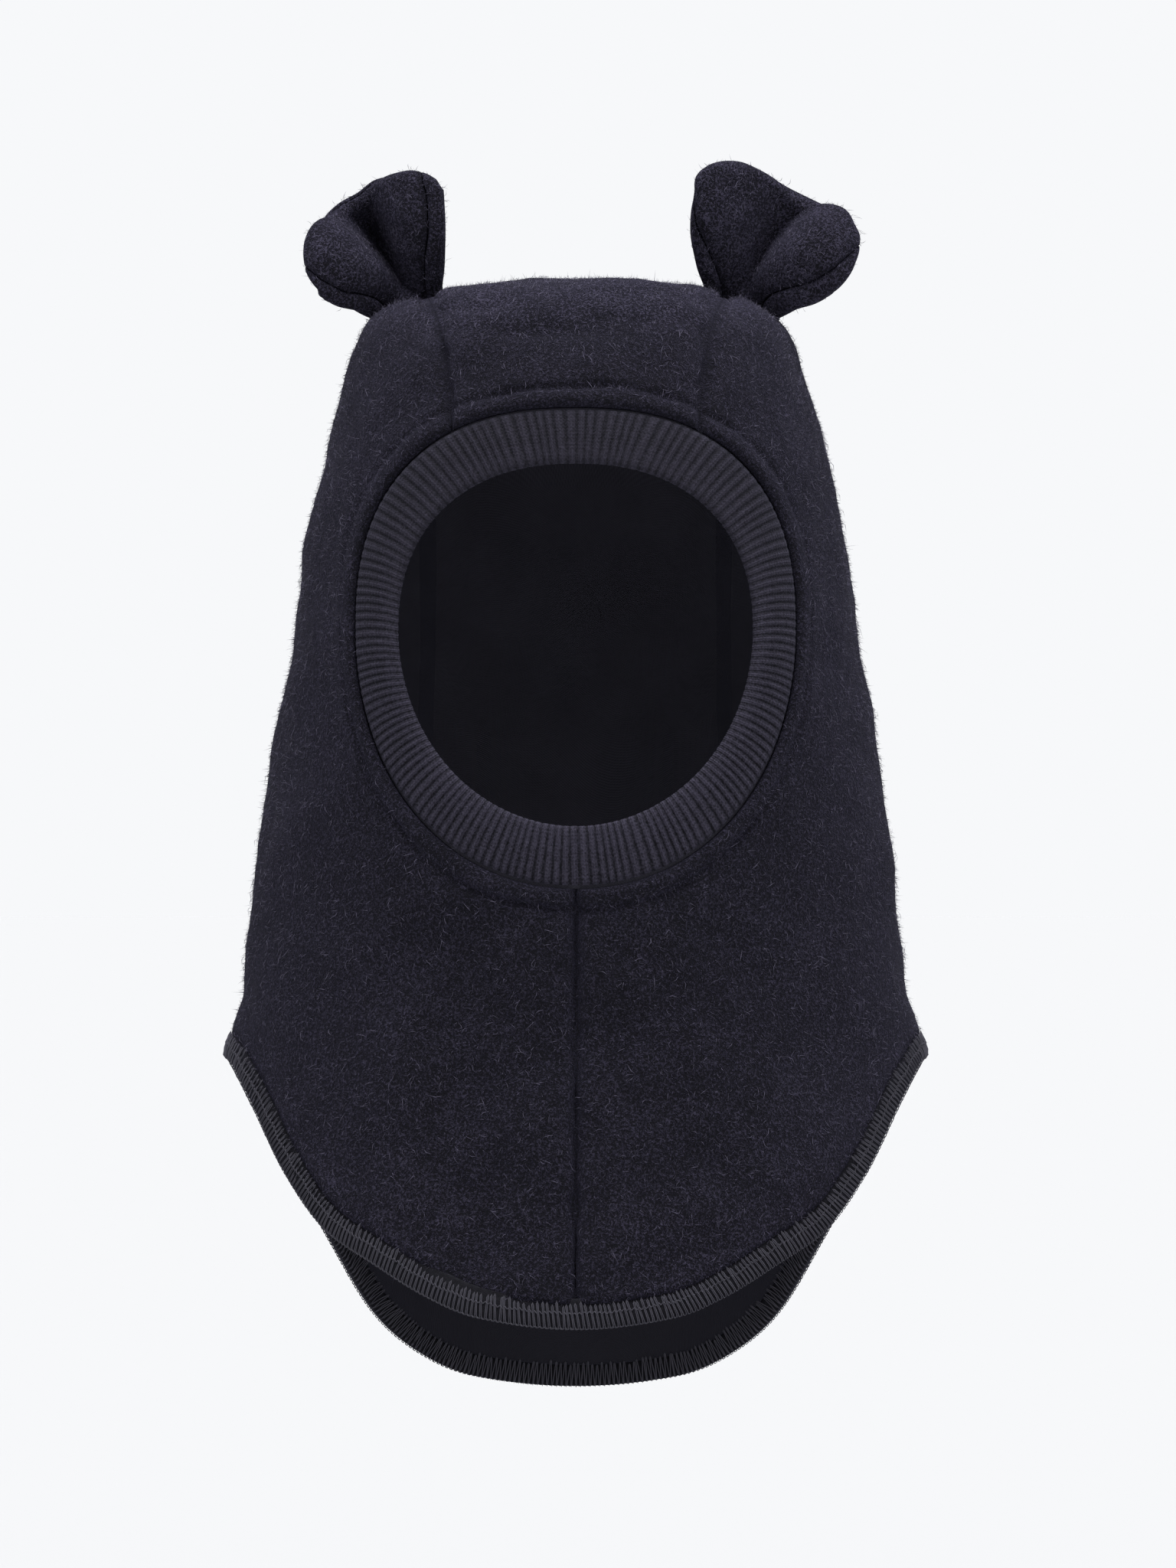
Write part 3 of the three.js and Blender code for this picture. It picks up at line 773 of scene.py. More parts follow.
def jersey_cloth(name):
    """Fine jersey: tiny columns of stitches, nearly even in tone, with painted shade low on the hat."""
    material, shader, lengths, place = new_cloth(name, 0.9, sheen=0.15, sheen_tint=(0.4, 0.4, 0.6))
    wales = (lengths.parts(0) * (2 * math.pi / jersey_wale)).wave()
    courses = (lengths.parts(1) * (2 * math.pi / jersey_course)).wave()
    knit = wales * courses * 0.5 + 0.5
    cloud = place.noise(60, detail=3).between(0.25, 0.75)
    tone = 0.24 + knit * 0.12 + cloud * 0.06
    # Painted shade: the lining is darker low on the hat, where the front shades the inside of the back
    tone = tone * (0.15 + place.parts(2).between(-0.3, -0.19) * 0.85)
    finish_cloth(shader, tone.tint(jersey_dark, jersey_light), knit, 0.0001)
    return material


lining.data.materials.append(jersey_cloth("fine_jersey"))
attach(lining, "root")
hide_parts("lining")


# The face band: rib knit folded double and sewn round the opening, its ribs running across it.
# Each rib is two columns of stitches with a deep furrow between it and the next.

band_thickness = 0.0026
rib_count = 155
rib_samples = 7
rib_crowding = (0.16, 0.025)  # ribs are closest at the sides, wider at the chin and the brow
rib_furrow = 0.0005
rib_furrow_side = (0.06, 0.6)  # where the furrow rises to the rib, as shares of half a rib
rib_line = 0.00018  # the groove between a rib's two columns
rib_line_side = (0.8, 1.0)
rib_on_fold = 0.25  # how much of the ribs is left where they are stretched over the fold
rib_seam_fade = (0.0002, 0.0026)
rib_lean = 0.45
rib_drift = 0.3
band_tuck = 0.0004  # gap between the band and the wool's rolled edge
band_sink = 0.0009  # the band's face lies this far under the wool's
band_swell = 0.0006
band_pull = 0.0009  # it is pulled in this far along its seam, within the radius below
band_pull_radius = 0.0013
band_join = 0.0007  # depth and width of the seam below the chin that joins its two ends
opening_radius = 0.06
band_rows = (13, 8, 5)  # over the face, round the fold and along the inside

loop_shares["rib_face_band"] = np.concatenate(
    [side + (np.arange(rows) + 0.5) / rows for side, rows in enumerate(band_rows)]
)


def band_loop(turn, share):
    """share: 0 to 1 over the face, 1 to 2 round the fold, 2 to 3 back along the inside."""
    around = turn + rib_crowding[0] * np.sin(turn) + rib_crowding[1] * np.sin(2 * turn)
    _, _, width = cloth_frame(around, -0.5)
    half = band_thickness / 2
    straight = width - half - band_tuck
    bend = (share - 1) * math.pi
    on_face, on_bend = share < 1, (share >= 1) & (share < 2)
    out = np.where(on_face, share * straight, straight + half * np.sin(bend))
    out = np.where(share >= 2, (3 - share) * straight, out) + band_tuck
    rise = np.where(on_face, 1.0, np.where(on_bend, np.cos(bend), -1.0))
    circle = np.stack([np.cos(around), np.sin(around), 0 * around], -1)
    lean = rib_lean * ripple(circle, 0.9, 41)
    drift = rib_drift * ripple(circle, 0.25, 42)
    across = np.clip(out / width, 0, 1)
    phase = turn / (2 * math.pi) * rib_count + drift
    phase = phase + lean * (across - 0.2)
    beat = np.abs(phase - np.round(phase)) * 2
    rib = -rib_furrow * (1 - smooth(*rib_furrow_side, beat)) - rib_line * smooth(*rib_line_side, beat)
    flattened = 1 - (1 - rib_on_fold) * smooth(0.72, 1.0, share)
    rib = rib * np.where(on_face, flattened, rib_on_fold)
    rib = rib * mix(0.1, 1.0, smooth(*rib_seam_fade, out))
    puff = band_swell * np.sin(math.pi * across) * on_face - band_pull * near(out, band_pull_radius)
    down = np.clip(-out / width, -1.25, -1e-6)
    point = cloth_point(around, down)
    surface, _, _ = cloth_frame(around, down)
    middle = -band_sink - half
    outward = cloth_slopes(around, down)[1]
    offset = middle + rise * (half + rib) + puff
    side = np.where(on_bend, np.sin(bend) * rib, 0)
    points = point + surface * offset[..., None] - unit(outward) * side[..., None]
    from_join = np.abs(np.abs(around) - math.pi) * opening_radius
    points = points - surface * (band_join * near(from_join, band_join))[..., None]
    return points, phase, out


band = ring_of("rib_face_band", rib_count * rib_samples, band_loop)


rib_dark = (0.0055, 0.0052, 0.007)
rib_light = (0.047, 0.0432, 0.065)
rib_stitch = 0.0011  # height of a stitch
rib_depth = 0.0004  # of the bump
fold_light = (10.5, 12.6)  # the band is a little lighter from here to here, in millimetres out


def rib_cloth(name):
    """Rib knit: columns of stitches, with painted highlight on their crowns and painted shade in the
    furrows and towards the brow.
    """
    material, shader, turns, place = new_cloth(name, 0.85, sheen=0.08, sheen_tint=(0.45, 0.45, 0.65))
    phase, across = turns.parts(0), turns.parts(1)
    # Painted light on the rib crowns and painted shade in the furrows, over the stitch pattern
    crown = phase.even_wave().between(0.1, 0.62)
    column = phase.even_wave(3)
    stitch = (across * (2 * math.pi / rib_stitch) + column * 2.5).wave() * 0.5 + 0.5
    fluff = place.noise(1400, detail=3, roughness=0.7)
    fold = (across * 1000).between(*fold_light)
    tone = crown * (0.2 + stitch * 0.2 + column * 0.26) + (fluff - 0.5) * 1.9 + 0.14 + fold * 0.1
    # Painted shade towards the brow and painted light towards the chin, against the top light
    tone = tone * (1.2 - place.parts(2).between(-0.18, -0.04) * 0.6)
    height = stitch * 0.2 + column * 0.5 + fluff
    finish_cloth(shader, tone.tint(rib_dark, rib_light), height, rib_depth)
    return material


band.data.materials.append(rib_cloth("rib_knit"))
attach(band, "root")
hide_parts("face_band")


# The hem: wool and lining closed together by overlock stitches all round. A dense row of fine
# threads runs over the edge from a line of needle stitches, and a braid of loops lies along it.

hem_core_proud = 0.00008
hem_tongue = 0.0022  # the squeezed cloth runs on this far up between wool and lining
tongue_share = 0.55  # of the edge's thickness
thread_radius = 0.00016
stitch_pitch = 0.00152

loop_shares["hem_core"] = there_and_back(7, 7, 0.0)


def hem_place(around, distance, offset):
    """A point this far above the hem's edge and this far off the wool's face."""
    normal, _, reach_down = cloth_frame(around, just_inside_hem)
    down = 1 - distance / reach_down
    return cloth_point(around, down) + normal * offset[..., None]


def hem_core_loop(around, share):
    half = (crown_top + 2 * hem_core_proud) / 2
    angle = share * math.pi
    height = 0.5 - 0.5 * np.cos(angle)
    distance = mix(0.0001, overlock_width + hem_tongue, height)
    round_end = np.sign(np.sin(angle)) * np.abs(np.sin(angle)) ** 0.35
    narrowed = smooth(overlock_width - 0.0014, overlock_width - 0.0006, distance)
    half = half * mix(1.0, tongue_share, narrowed)
    offset = -crown_top / 2 + half * round_end
    return hem_place(around, distance, offset), around * 0.1, distance


hem_core = ring_of("hem_core", 440, hem_core_loop)

edge_turns = np.linspace(0, 2 * math.pi, 4001)
edge_steps = np.linalg.norm(np.diff(cloth_point(edge_turns, 1), axis=0), axis=1)
edge_lengths = np.concatenate([[0], np.cumsum(edge_steps)])
hem_length = edge_lengths[-1]
stitch_count = round(hem_length / stitch_pitch)


def around_at(length):
    return np.interp(np.remainder(length, hem_length), edge_lengths, edge_turns)


def mesh_from(name, points, faces):
    """One joined mesh from arrays of points and of triangles or quads."""
    mesh = bpy.data.meshes.new(name)
    size = faces.shape[1]
    mesh.vertices.add(len(points))
    mesh.vertices.foreach_set("co", points.astype(np.float32).ravel())
    mesh.loops.add(faces.size)
    mesh.loops.foreach_set("vertex_index", faces.astype(np.int32).ravel())
    mesh.polygons.add(len(faces))
    mesh.polygons.foreach_set("loop_start", np.arange(len(faces), dtype=np.int32) * size)
    mesh.polygons.foreach_set("use_smooth", np.ones(len(faces), dtype=bool))
    mesh.update(calc_edges=True)
    obj = bpy.data.objects.new(name, mesh)
    bpy.context.scene.collection.objects.link(obj)
    return obj


def threads(name, paths, radius, sides=4):
    """Closed threads: paths is strands x points x 3, and radius is one for each point."""
    strands, count, _ = paths.shape
    ahead = unit(np.gradient(paths, axis=1))
    helper = np.where(np.abs(ahead[..., 2:3]) > 0.8, [1.0, 0.0, 0.0], [0.0, 0.0, 1.0])
    first = unit(np.cross(ahead, helper))
    second = np.cross(ahead, first)
    angle = np.arange(sides) / sides * 2 * math.pi
    spoke = first[:, :, None] * np.cos(angle)[:, None] + second[:, :, None] * np.sin(angle)[:, None]
    rings = paths[:, :, None] + spoke * radius[..., None, None]
    points = rings.reshape(-1, 3)
    base = np.arange(strands)[:, None, None] * count * sides
    i, k = np.meshgrid(np.arange(count - 1), np.arange(sides), indexing="ij")
    a = i * sides + k
    b = i * sides + (k + 1) % sides
    quads = np.stack([a, b, b + sides, a + sides], axis=-1).reshape(1, -1, 4) + base
    caps = []
    for row, order in ((0, -1), (count - 1, 1)):
        fan = row * sides + np.arange(sides)[::order]
        for k in range(1, sides - 1):
            caps.append([fan[0], fan[k], fan[k + 1], fan[k + 1]])
    quads = quads.reshape(-1, 4)
    first_half, second_half = quads[:, [0, 1, 2]], quads[:, [0, 2, 3]]
    cap_faces = (np.array(caps)[None, :, :3] + base).reshape(-1, 3)
    return mesh_from(name, points, np.concatenate([first_half, second_half, cap_faces]))


# One stitch of a looper's thread, from the edge up to the needle line and back down: slanting
# pairs of legs outside, and a zigzag inside.
# share of the pitch, height as a share of the width, how far it stands off the cloth
outer_stitch = np.array([
    (0.0, -0.01, 0.0),
    (0.05, 0.12, 0.45),
    (0.07, 0.4, 1.0),
    (0.08, 0.7, 1.0),
    (0.06, 0.92, 0.8),
    (0.2, 1.02, 0.35),
    (0.37, 0.93, 0.7),
    (0.35, 0.7, 1.0),
    (0.34, 0.4, 1.0),
    (0.36, 0.12, 0.45),
    (0.45, -0.01, 0.0),
    (0.72, -0.015, -0.3),
])
inner_stitch = np.array([
    (0.0, -0.01, 0.0),
    (0.1, 0.12, 0.75),
    (0.22, 0.45, 1.0),
    (0.34, 0.8, 0.9),
    (0.38, 0.97, 0.6),
    (0.5, 1.03, 0.4),
    (0.62, 0.97, 0.6),
    (0.66, 0.8, 0.9),
    (0.78, 0.45, 1.0),
    (0.9, 0.12, 0.75),
])


def hem_drift(around):
    """How far along the hem a line straight up from its edge drifts, for each metre up."""
    sideways, downward = cloth_slopes(around, just_inside_hem)
    slant = np.sum(unit(sideways) * unit(downward), axis=-1)
    return np.clip(slant / np.sqrt(np.maximum(1 - slant**2, 0.05)), -1.2, 1.2)


stitch_unevenness = 0.15
thread_lift = 0.0003  # how far a stitch stands off the cloth at most
thread_sink = 0.0006  # and how far it dips in where it enters
thread_jitter = 0.00006


def wrapping_thread(name, stitch, lean, cloth_side, facing, seed):
    """The looper's thread on one side of the hem, laid in loops from edge to needle line."""
    rng = np.random.default_rng(seed)
    shape = np.tile(stitch, (stitch_count, 1))
    index = np.repeat(np.arange(stitch_count), len(stitch))
    shift, taller = stitch_unevenness * rng.normal(size=(2, stitch_count))
    height = shape[:, 1] * (1 + 0.35 * taller[index])
    length = (index + shape[:, 0] + shift[index] * height + lean * height) * stitch_pitch
    lift = thread_lift * shape[:, 2] - thread_sink * (shape[:, 2] < 0.05)
    offset = cloth_side + facing * (lift + thread_jitter * rng.normal(size=len(lift)))
    length = length * hem_length / (stitch_count * stitch_pitch)
    around = around_at(length + hem_drift(around_at(length)) * overlock_width * height)
    path = hem_place(around, overlock_width * height, offset)
    radius = thread_radius * (0.85 + 0.3 * rng.random(len(path)))
    return threads(name, path[None], radius[None])


outer_threads = wrapping_thread("hem_outer_threads", outer_stitch, 0.75, 0.0, 1, 51)
inner_threads = wrapping_thread("hem_inner_threads", inner_stitch, 0.1, -crown_top, -1, 52)


def running_line(name, samples, place, radius):
    """One closed thread right round the hem, laid by place(stitches, around)."""
    beats = np.arange(stitch_count * samples + 1) / samples
    around = around_at(beats * hem_length / stitch_count)
    distance, offset = place(beats, around)
    path = hem_place(around, distance, offset)
    return threads(name, path[None], np.full((1, len(beats)), radius))


def edge_braid(beats, around):
    """Loops that show along the front's edge at the left, and sink into the cloth elsewhere."""
    swing = np.sin(beats * 2 * math.pi)
    lift = np.cos(beats * 2 * math.pi + 0.6 * np.sin(beats * 0.7))
    turn = hem_turn(around)
    shown = smooth(0.05, 0.45, -np.cos(turn)) * smooth(-0.35, 0.15, -np.sin(turn))
    edge = mix(0.0014, 0.0002, shown)
    return edge + 0.00018 * swing, -crown_top * mix(0.5, 0.3, shown) + 0.0007 * lift


needle_height = 0.0047  # above the hem's edge
braid_radius = 0.00022
needle_radius = 0.00017


def needle_line(beats, _):
    """Needle stitches that bob in and out of the cloth, in a line not quite straight."""
    bob = np.sin(beats * 2 * math.pi)
    distance = needle_height + 0.0002 * np.sin(beats * 0.9) + 0.00035 * bob
    return distance, 0.0003 + 0.0002 * np.cos(beats * 2 * math.pi)


braid = running_line("hem_edge_braid", 6, edge_braid, braid_radius)
needle = running_line("hem_needle_stitches", 5, needle_line, needle_radius)


def thread_finish(name, colour):
    """Spun overlock thread in one tone, too fine for a pattern of its own."""
    material, shader, _, _ = new_cloth(name, 0.7, sheen=0.1, sheen_tint=(0.5, 0.5, 0.6))
    shader.inputs["Base Color"].default_value = (*colour, 1.0)
    return material


# Painted shade: the squeezed edge is darker than the wool it is made of, as the gaps between threads are
# in shade
core_dark = (0.0025, 0.0025, 0.003)
core_light = (0.013, 0.0127, 0.0165)


def core_cloth(name):
    """The squeezed edge of wool and lining between the threads, painted darker than the cloth as painted
    shade in the gaps.
    """
    material, shader, _, place = new_cloth(name, 0.9, sheen=0.1, sheen_tint=(0.4, 0.4, 0.6))
    fluff = place.noise(900, detail=3, roughness=0.7)
    finish_cloth(shader, fluff.tint(core_dark, core_light), fluff, 0.0004)
    return material


hem_core.data.materials.append(core_cloth("squeezed_edge"))
overlock_thread = thread_finish("overlock_thread", (0.0525, 0.051, 0.0645))
edge_thread = thread_finish("edge_thread", (0.095, 0.093, 0.11))
for piece, finish in (
    (outer_threads, overlock_thread),
    (inner_threads, overlock_thread),
    (braid, edge_thread),
    (needle, overlock_thread),
):
    piece.data.materials.append(finish)
for piece in (hem_core, outer_threads, inner_threads, braid, needle):
    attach(piece, "root")
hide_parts("hem_overlock")


# The ears: each is two layers of the wool sewn together along its sides and rim, turned right
# side out, folded into a cup and caught by its root in the panel seam. The back layer rolls
# round to the front at the sides, so the sewn line shows a little way in from the edge.

ear_reach = 0.038
ear_wool = 0.0023
ear_root_depth = 0.007
ear_sink = -0.14  # the root runs on this share of the reach into the seam
ear_root_slope = -0.3
ear_root_y = body_half_depth * 0.075 - ear_root_depth / 2
ear_gap = 0.0003
ear_round = 0.003  # radius of the back layer's rolled edges
ear_seam_round = 0.0034  # and of the front layer's edge at the sewn line
ear_rim_round = 0.0026
ear_swelling = 0.35  # the front layer is this much thicker away from its seams
ear_swelling_reach = 0.009
ear_lumps = 0.0005
ear_lump_wave = 0.011

# Tables run across each ear, from the crown's middle (-1) to the outer edge (1). rim is where the
# far edge lies: across, out, up, back. folds is how far the cloth half way up stands off a
# straight line: across, out, back, up. seams is how far in from each side edge the layers are
# sewn: up, inner side, outer side. The first two are in shares of ear_reach.
left_ear = {
    "side": -1,
    "root_out": 0.052,
    "root_half_width": 0.0105,
    "rim": np.array([
        (-1.0, -0.296, 0.86, -0.12),
        (-0.9, -0.231, 0.955, -0.1),
        (-0.72, -0.086, 1.01, -0.02),
        (-0.55, 0.039, 1.0, 0.06),
        (-0.3, 0.247, 0.945, 0.2),
        (-0.1, 0.389, 0.83, 0.26),
        (0.1, 0.55, 0.74, 0.22),
        (0.35, 0.725, 0.574, 0.08),
        (0.5, 0.79, 0.45, 0.0),
        (0.65, 0.812, 0.308, -0.07),
        (0.8, 0.79, 0.184, -0.13),
        (0.92, 0.71, 0.085, -0.17),
        (1.0, 0.62, 0.04, -0.18),
    ]),
    "folds": np.array([
        (-1.0, -0.03, -0.04, 0.0),
        (-0.75, 0.0, -0.12, 0.0),
        (-0.45, 0.02, -0.06, 0.0),
        (-0.15, 0.0, 0.38, 0.0),
        (0.1, 0.0, 0.34, 0.0),
        (0.38, 0.0, -0.2, 0.08),
        (0.7, 0.0, -0.2, 0.0),
        (1.0, 0.0, -0.04, -0.03),
    ]),
    "seams": np.array([
        (-0.1, 0.0055, 0.006),
        (0.5, 0.0058, 0.0065),
        (0.8, 0.007, 0.0085),
        (1.0, 0.0095, 0.0115),
    ]),
}
right_ear = {
    "side": 1,
    "root_out": 0.051,
    "root_half_width": 0.011,
    "rim": np.array([
        (-1.0, -0.36, 0.9, -0.1),
        (-0.88, -0.303, 1.024, -0.08),
        (-0.74, -0.211, 1.068, -0.03),
        (-0.56, -0.068, 1.079, 0.04),
        (-0.42, 0.037, 1.055, 0.1),
        (-0.22, 0.239, 0.963, 0.18),
        (-0.05, 0.382, 0.871, 0.21),
        (0.12, 0.568, 0.776, 0.21),
        (0.26, 0.716, 0.716, 0.13),
        (0.4, 0.839, 0.647, 0.04),
        (0.52, 0.889, 0.561, -0.04),
        (0.66, 0.939, 0.45, -0.1),
        (0.82, 0.903, 0.276, -0.15),
        (0.93, 0.785, 0.165, -0.18),
        (1.0, 0.685, 0.108, -0.18),
    ]),
    "folds": np.array([
        (-1.0, -0.085, -0.08, 0.0),
        (-0.7, -0.04, -0.12, 0.0),
        (-0.35, 0.0, -0.06, 0.0),
        (0.02, 0.0, 0.1, 0.0),
        (0.18, -0.01, 0.08, 0.05),
        (0.42, -0.02, -0.22, 0.11),
        (0.7, 0.0, -0.22, 0.0),
        (1.0, 0.0, -0.04, -0.05),
    ]),
    "seams": np.array([
        (-0.1, 0.0065, 0.006),
        (0.1, 0.006, 0.0075),
        (0.3, 0.0045, 0.0085),
        (0.5, 0.0025, 0.0095),
        (0.75, 0.0015, 0.012),
        (1.0, 0.0012, 0.016),
    ]),
}


def ear_point(ear, across, up):
    """An ear's middle surface. up: 0 at the root, 1 at the rim."""
    half = ear["root_half_width"]
    root = np.stack([
        ear["root_out"] + across * half,
        ear_root_y + ear_root_depth * (1 - across * across),
        crown_top - ear["root_drop"] + across * half * ear_root_slope
        - np.maximum(across, 0) ** 2 * half * 0.3,
    ], axis=-1)
    rim = np.stack([
        ear["root_out"] + ear_reach * curve(ear["rim"], 1, across),
        ear_root_y + ear_reach * curve(ear["rim"], 3, across),
        crown_top - ear["root_drop"] + ear_reach * curve(ear["rim"], 2, across),
    ], axis=-1)
    point = mix(root, rim, up[..., None])
    bulge = ear_reach * 4 * up * (1 - up)
    point[..., 0] += bulge * curve(ear["folds"], 1, across)
    point[..., 1] += bulge * curve(ear["folds"], 2, across)
    point[..., 2] += bulge * curve(ear["folds"], 3, across)
    point[..., 2] -= ear_reach * np.maximum(-up, 0)
    point[..., 0] *= ear["side"]
    return point


def ear_normal(ear, across, up):
    """The normal towards the ear's front."""
    step = 1e-3
    sideways = ear_point(ear, across + step, up) - ear_point(ear, across - step, up)
    upward = ear_point(ear, across, up + step) - ear_point(ear, across, up - step)
    return unit(np.cross(sideways, upward)) * ear["side"]


def seam_insets(ear, up):
    """How far in from the inner and the outer edge an ear is sewn."""
    return [np.interp(up, ear["seams"][:, 0], ear["seams"][:, i]) for i in (1, 2)]


# Tables of how far each place on an ear is from its edges, measured along the cloth.
ear_across = np.linspace(-1, 1, 161)
ear_up = np.linspace(ear_sink, 1, 55)
for ear in (left_ear, right_ear):
    ear["root_drop"] = float(
        solve(0, 0.04, ear["root_out"], lambda drop: section(along_at_drop(drop))[0])
    )
    points = ear_point(ear, *np.meshgrid(ear_across, ear_up, indexing="ij"))
    steps = np.linalg.norm(np.diff(points, axis=0), axis=-1)
    ear["from_inner"] = np.concatenate([np.zeros((1, len(ear_up))), np.cumsum(steps, axis=0)])
    ear["from_outer"] = ear["from_inner"][-1] - ear["from_inner"]
    steps = np.linalg.norm(np.diff(points, axis=1), axis=-1)[:, ::-1]
    from_rim = np.concatenate([np.zeros((len(ear_across), 1)), np.cumsum(steps, axis=1)], axis=1)
    ear["from_rim"] = from_rim[:, ::-1]
    rows = zip(*seam_insets(ear, ear_up), ear["from_inner"].T, ear["from_outer"].T)
    ear["sewn"] = np.array([
        (np.interp(low, inner, ear_across), -np.interp(high, outer[::-1], -ear_across[::-1]))
        for low, high, inner, outer in rows
    ])


def ear_lookup(table, across, up):
    """A value from a table over ear_across and ear_up."""
    x = np.clip((across + 1) / 2 * (len(ear_across) - 1), 0, len(ear_across) - 1.001)
    y = (up - ear_sink) / (1 - ear_sink) * (len(ear_up) - 1)
    y = np.clip(y, 0, len(ear_up) - 1.001)
    i, j = x.astype(int), y.astype(int)
    x, y = x - i, y - j
    low = mix(table[i, j], table[i + 1, j], x)
    high = mix(table[i, j + 1], table[i + 1, j + 1], x)
    return mix(low, high, y)


def rounded(distance, radius):
    """How much of its thickness a layer keeps this far from its rounded edge."""
    t = np.clip(1 - distance / radius, 0, 1)
    return np.sqrt(np.maximum(1 - t * t, 0.16))


def sewn_lines(ear, up):
    """Where across an ear its two sewn lines run."""
    return [np.interp(up, ear_up, ear["sewn"][:, i]) for i in (0, 1)]


def ear_distances(ear, across, up):
    """How far a place is from an ear's inner edge, outer edge and rim, and in from its seams."""
    edges = [ear_lookup(ear[key], across, up) for key in ("from_inner", "from_outer", "from_rim")]
    inset = seam_insets(ear, up)
    return *edges, np.minimum(edges[0] - inset[0], edges[1] - inset[1])


def ear_offsets(ear, across, up, part):
    """How far a layer's front and back faces stand off the ear's middle surface."""
    from_inner, from_outer, from_rim, from_seam = ear_distances(ear, across, up)
    round_edge = rounded(np.minimum(np.minimum(from_inner, from_outer), from_rim), ear_round)
    if part == "back":
        turned = smooth(0, 0.0007, -from_seam) * mix(0.5, 1.15, rounded(-from_seam, ear_round))
        return ear_wool * round_edge * turned, -ear_wool * round_edge
    swollen = 1 + ear_swelling * smooth(0, ear_swelling_reach, from_seam)
    sewn = mix(0.4, 1.0, rounded(np.maximum(from_seam, 0), ear_seam_round))
    sewn = sewn * rounded(from_rim, ear_rim_round)
    return ear_gap + ear_wool * swollen * sewn, ear_gap + 0 * up


def ear_sheet(name, ear, part, columns, rows):
    """One layer of an ear."""

    def lay(u, v, face):
        up = mix(ear_sink, 1.0, packed(v, 0.35))
        across = mix(-1.0, 1.0, packed(u, 0.5))
        if part == "front":
            across = mix(*sewn_lines(ear, up), packed(u, 0.5))
        offset = ear_offsets(ear, across, up, part)[face]
        point = ear_point(ear, across, up)
        lumps = ear_lumps * ripple(point, ear_lump_wave, 61)
        lumps = lumps * smooth(0, 0.008, (1 - up) * ear_reach)
        place = point + ear_normal(ear, across, up) * (offset + lumps)[..., None]
        from_inner, _, _, from_seam = ear_distances(ear, across, up)
        # Painted shade along the ear's sewn lines, on its outer face only
        painted_seam_shade = near(from_seam, painted_seam_shade_reach) * (face == 0)
        return place, from_inner, up * ear_reach, painted_seam_shade

    return cloth_sheet(
        name, columns, rows, lambda u, v: lay(u, v, 0), lambda u, v: lay(u, v, 1)[0]
    )


for label, ear in (("left", left_ear), ("right", right_ear)):
    for part, columns, flat in (("back", 88, (0.066, 0.037)), ("front", 66, (0.055, 0.036))):
        piece = ear_sheet(f"ear_{label}_{part}_cloth", ear, part, columns, 48)
        piece.data.materials.append(wool)
        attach(piece, "root")
        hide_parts(f"ear_{label}_{part}")


# The nap: the wool's loose hairs, brushed up all over it. Most lie nearly flat in the way the
# cloth was brushed, and some stand off and blur its outline. A lying hair is a bent sliver, and a
# standing one a straight spike.

hair_tones = {
    # lying hairs, standing hairs, colour
    "nap_deep": (1500, 40000, (0.022, 0.0203, 0.03)),
    "nap_middle": (8000, 36000, (0.044, 0.0405, 0.062)),
    "nap_pale": (10500, 33500, (0.112, 0.1035, 0.155)),
}
lying_radius = 0.000068
standing_radius = 0.000075
shorter_on_ears = 0.7
ears_share = 0.19  # of all hairs


patch_cells = (120, 60)
matting = 0.8  # hairs are this much shorter in a seam
matting_reach = 0.0018
root_depth = 0.0003  # a hair starts this far under the face
longest_hair = 0.0055


def scattered(rng, count, face, low, high):
    """Random places spread evenly by area over a patch of face(a, b)."""
    a, b = [np.linspace(low[i], high[i], patch_cells[i] + 1) for i in (0, 1)]
    points = face(*np.meshgrid(a, b, indexing="ij"))
    one = points[1:, :-1] - points[:-1, :-1]
    two = points[:-1, 1:] - points[:-1, :-1]
    area = np.linalg.norm(np.cross(one, two), axis=-1).ravel()
    i, j = np.divmod(rng.choice(len(area), size=count, p=area / area.sum()), patch_cells[1])
    return mix(a[i], a[i + 1], rng.random(count)), mix(b[j], b[j + 1], rng.random(count))


def hair_places(rng, count):
    """Points, normals and the way down the cloth for hairs all over the wool."""
    on_ears = int(count * ears_share)
    around, down = scattered(
        rng, count - on_ears, cloth_point, (-math.pi, 0.004), (math.pi, 0.972)
    )
    points, normals = wool_face(around, down)
    _, reach_around, _ = cloth_frame(around, down)
    matted = 1 - matting * near(from_panel_seams(around, reach_around), matting_reach)
    places = [(points, normals, unit(cloth_slopes(around, down)[1]))]
    for ear in (left_ear, right_ear):
        for facing in (1, -1):
            across, up = scattered(
                rng, on_ears // 4, lambda a, b: ear_point(ear, a, b), (-1, 0.02), (1, 1)
            )
            front, _ = ear_offsets(ear, across, up, "front")
            turned, behind = ear_offsets(ear, across, up, "back")
            first, last = sewn_lines(ear, up)
            inside = (across > first) & (across < last)
            offset = np.where(inside, front, turned) if facing > 0 else -behind
            normal = ear_normal(ear, across, up) * facing
            upward = ear_point(ear, across, up + 0.01) - ear_point(ear, across, up - 0.01)
            point = ear_point(ear, across, up) + normal * offset[:, None]
            places.append((point, normal, unit(upward)))
    sizes = [matted, np.full(on_ears // 4 * 4, shorter_on_ears)]
    return [np.concatenate(part) for part in (*zip(*places), sizes)]


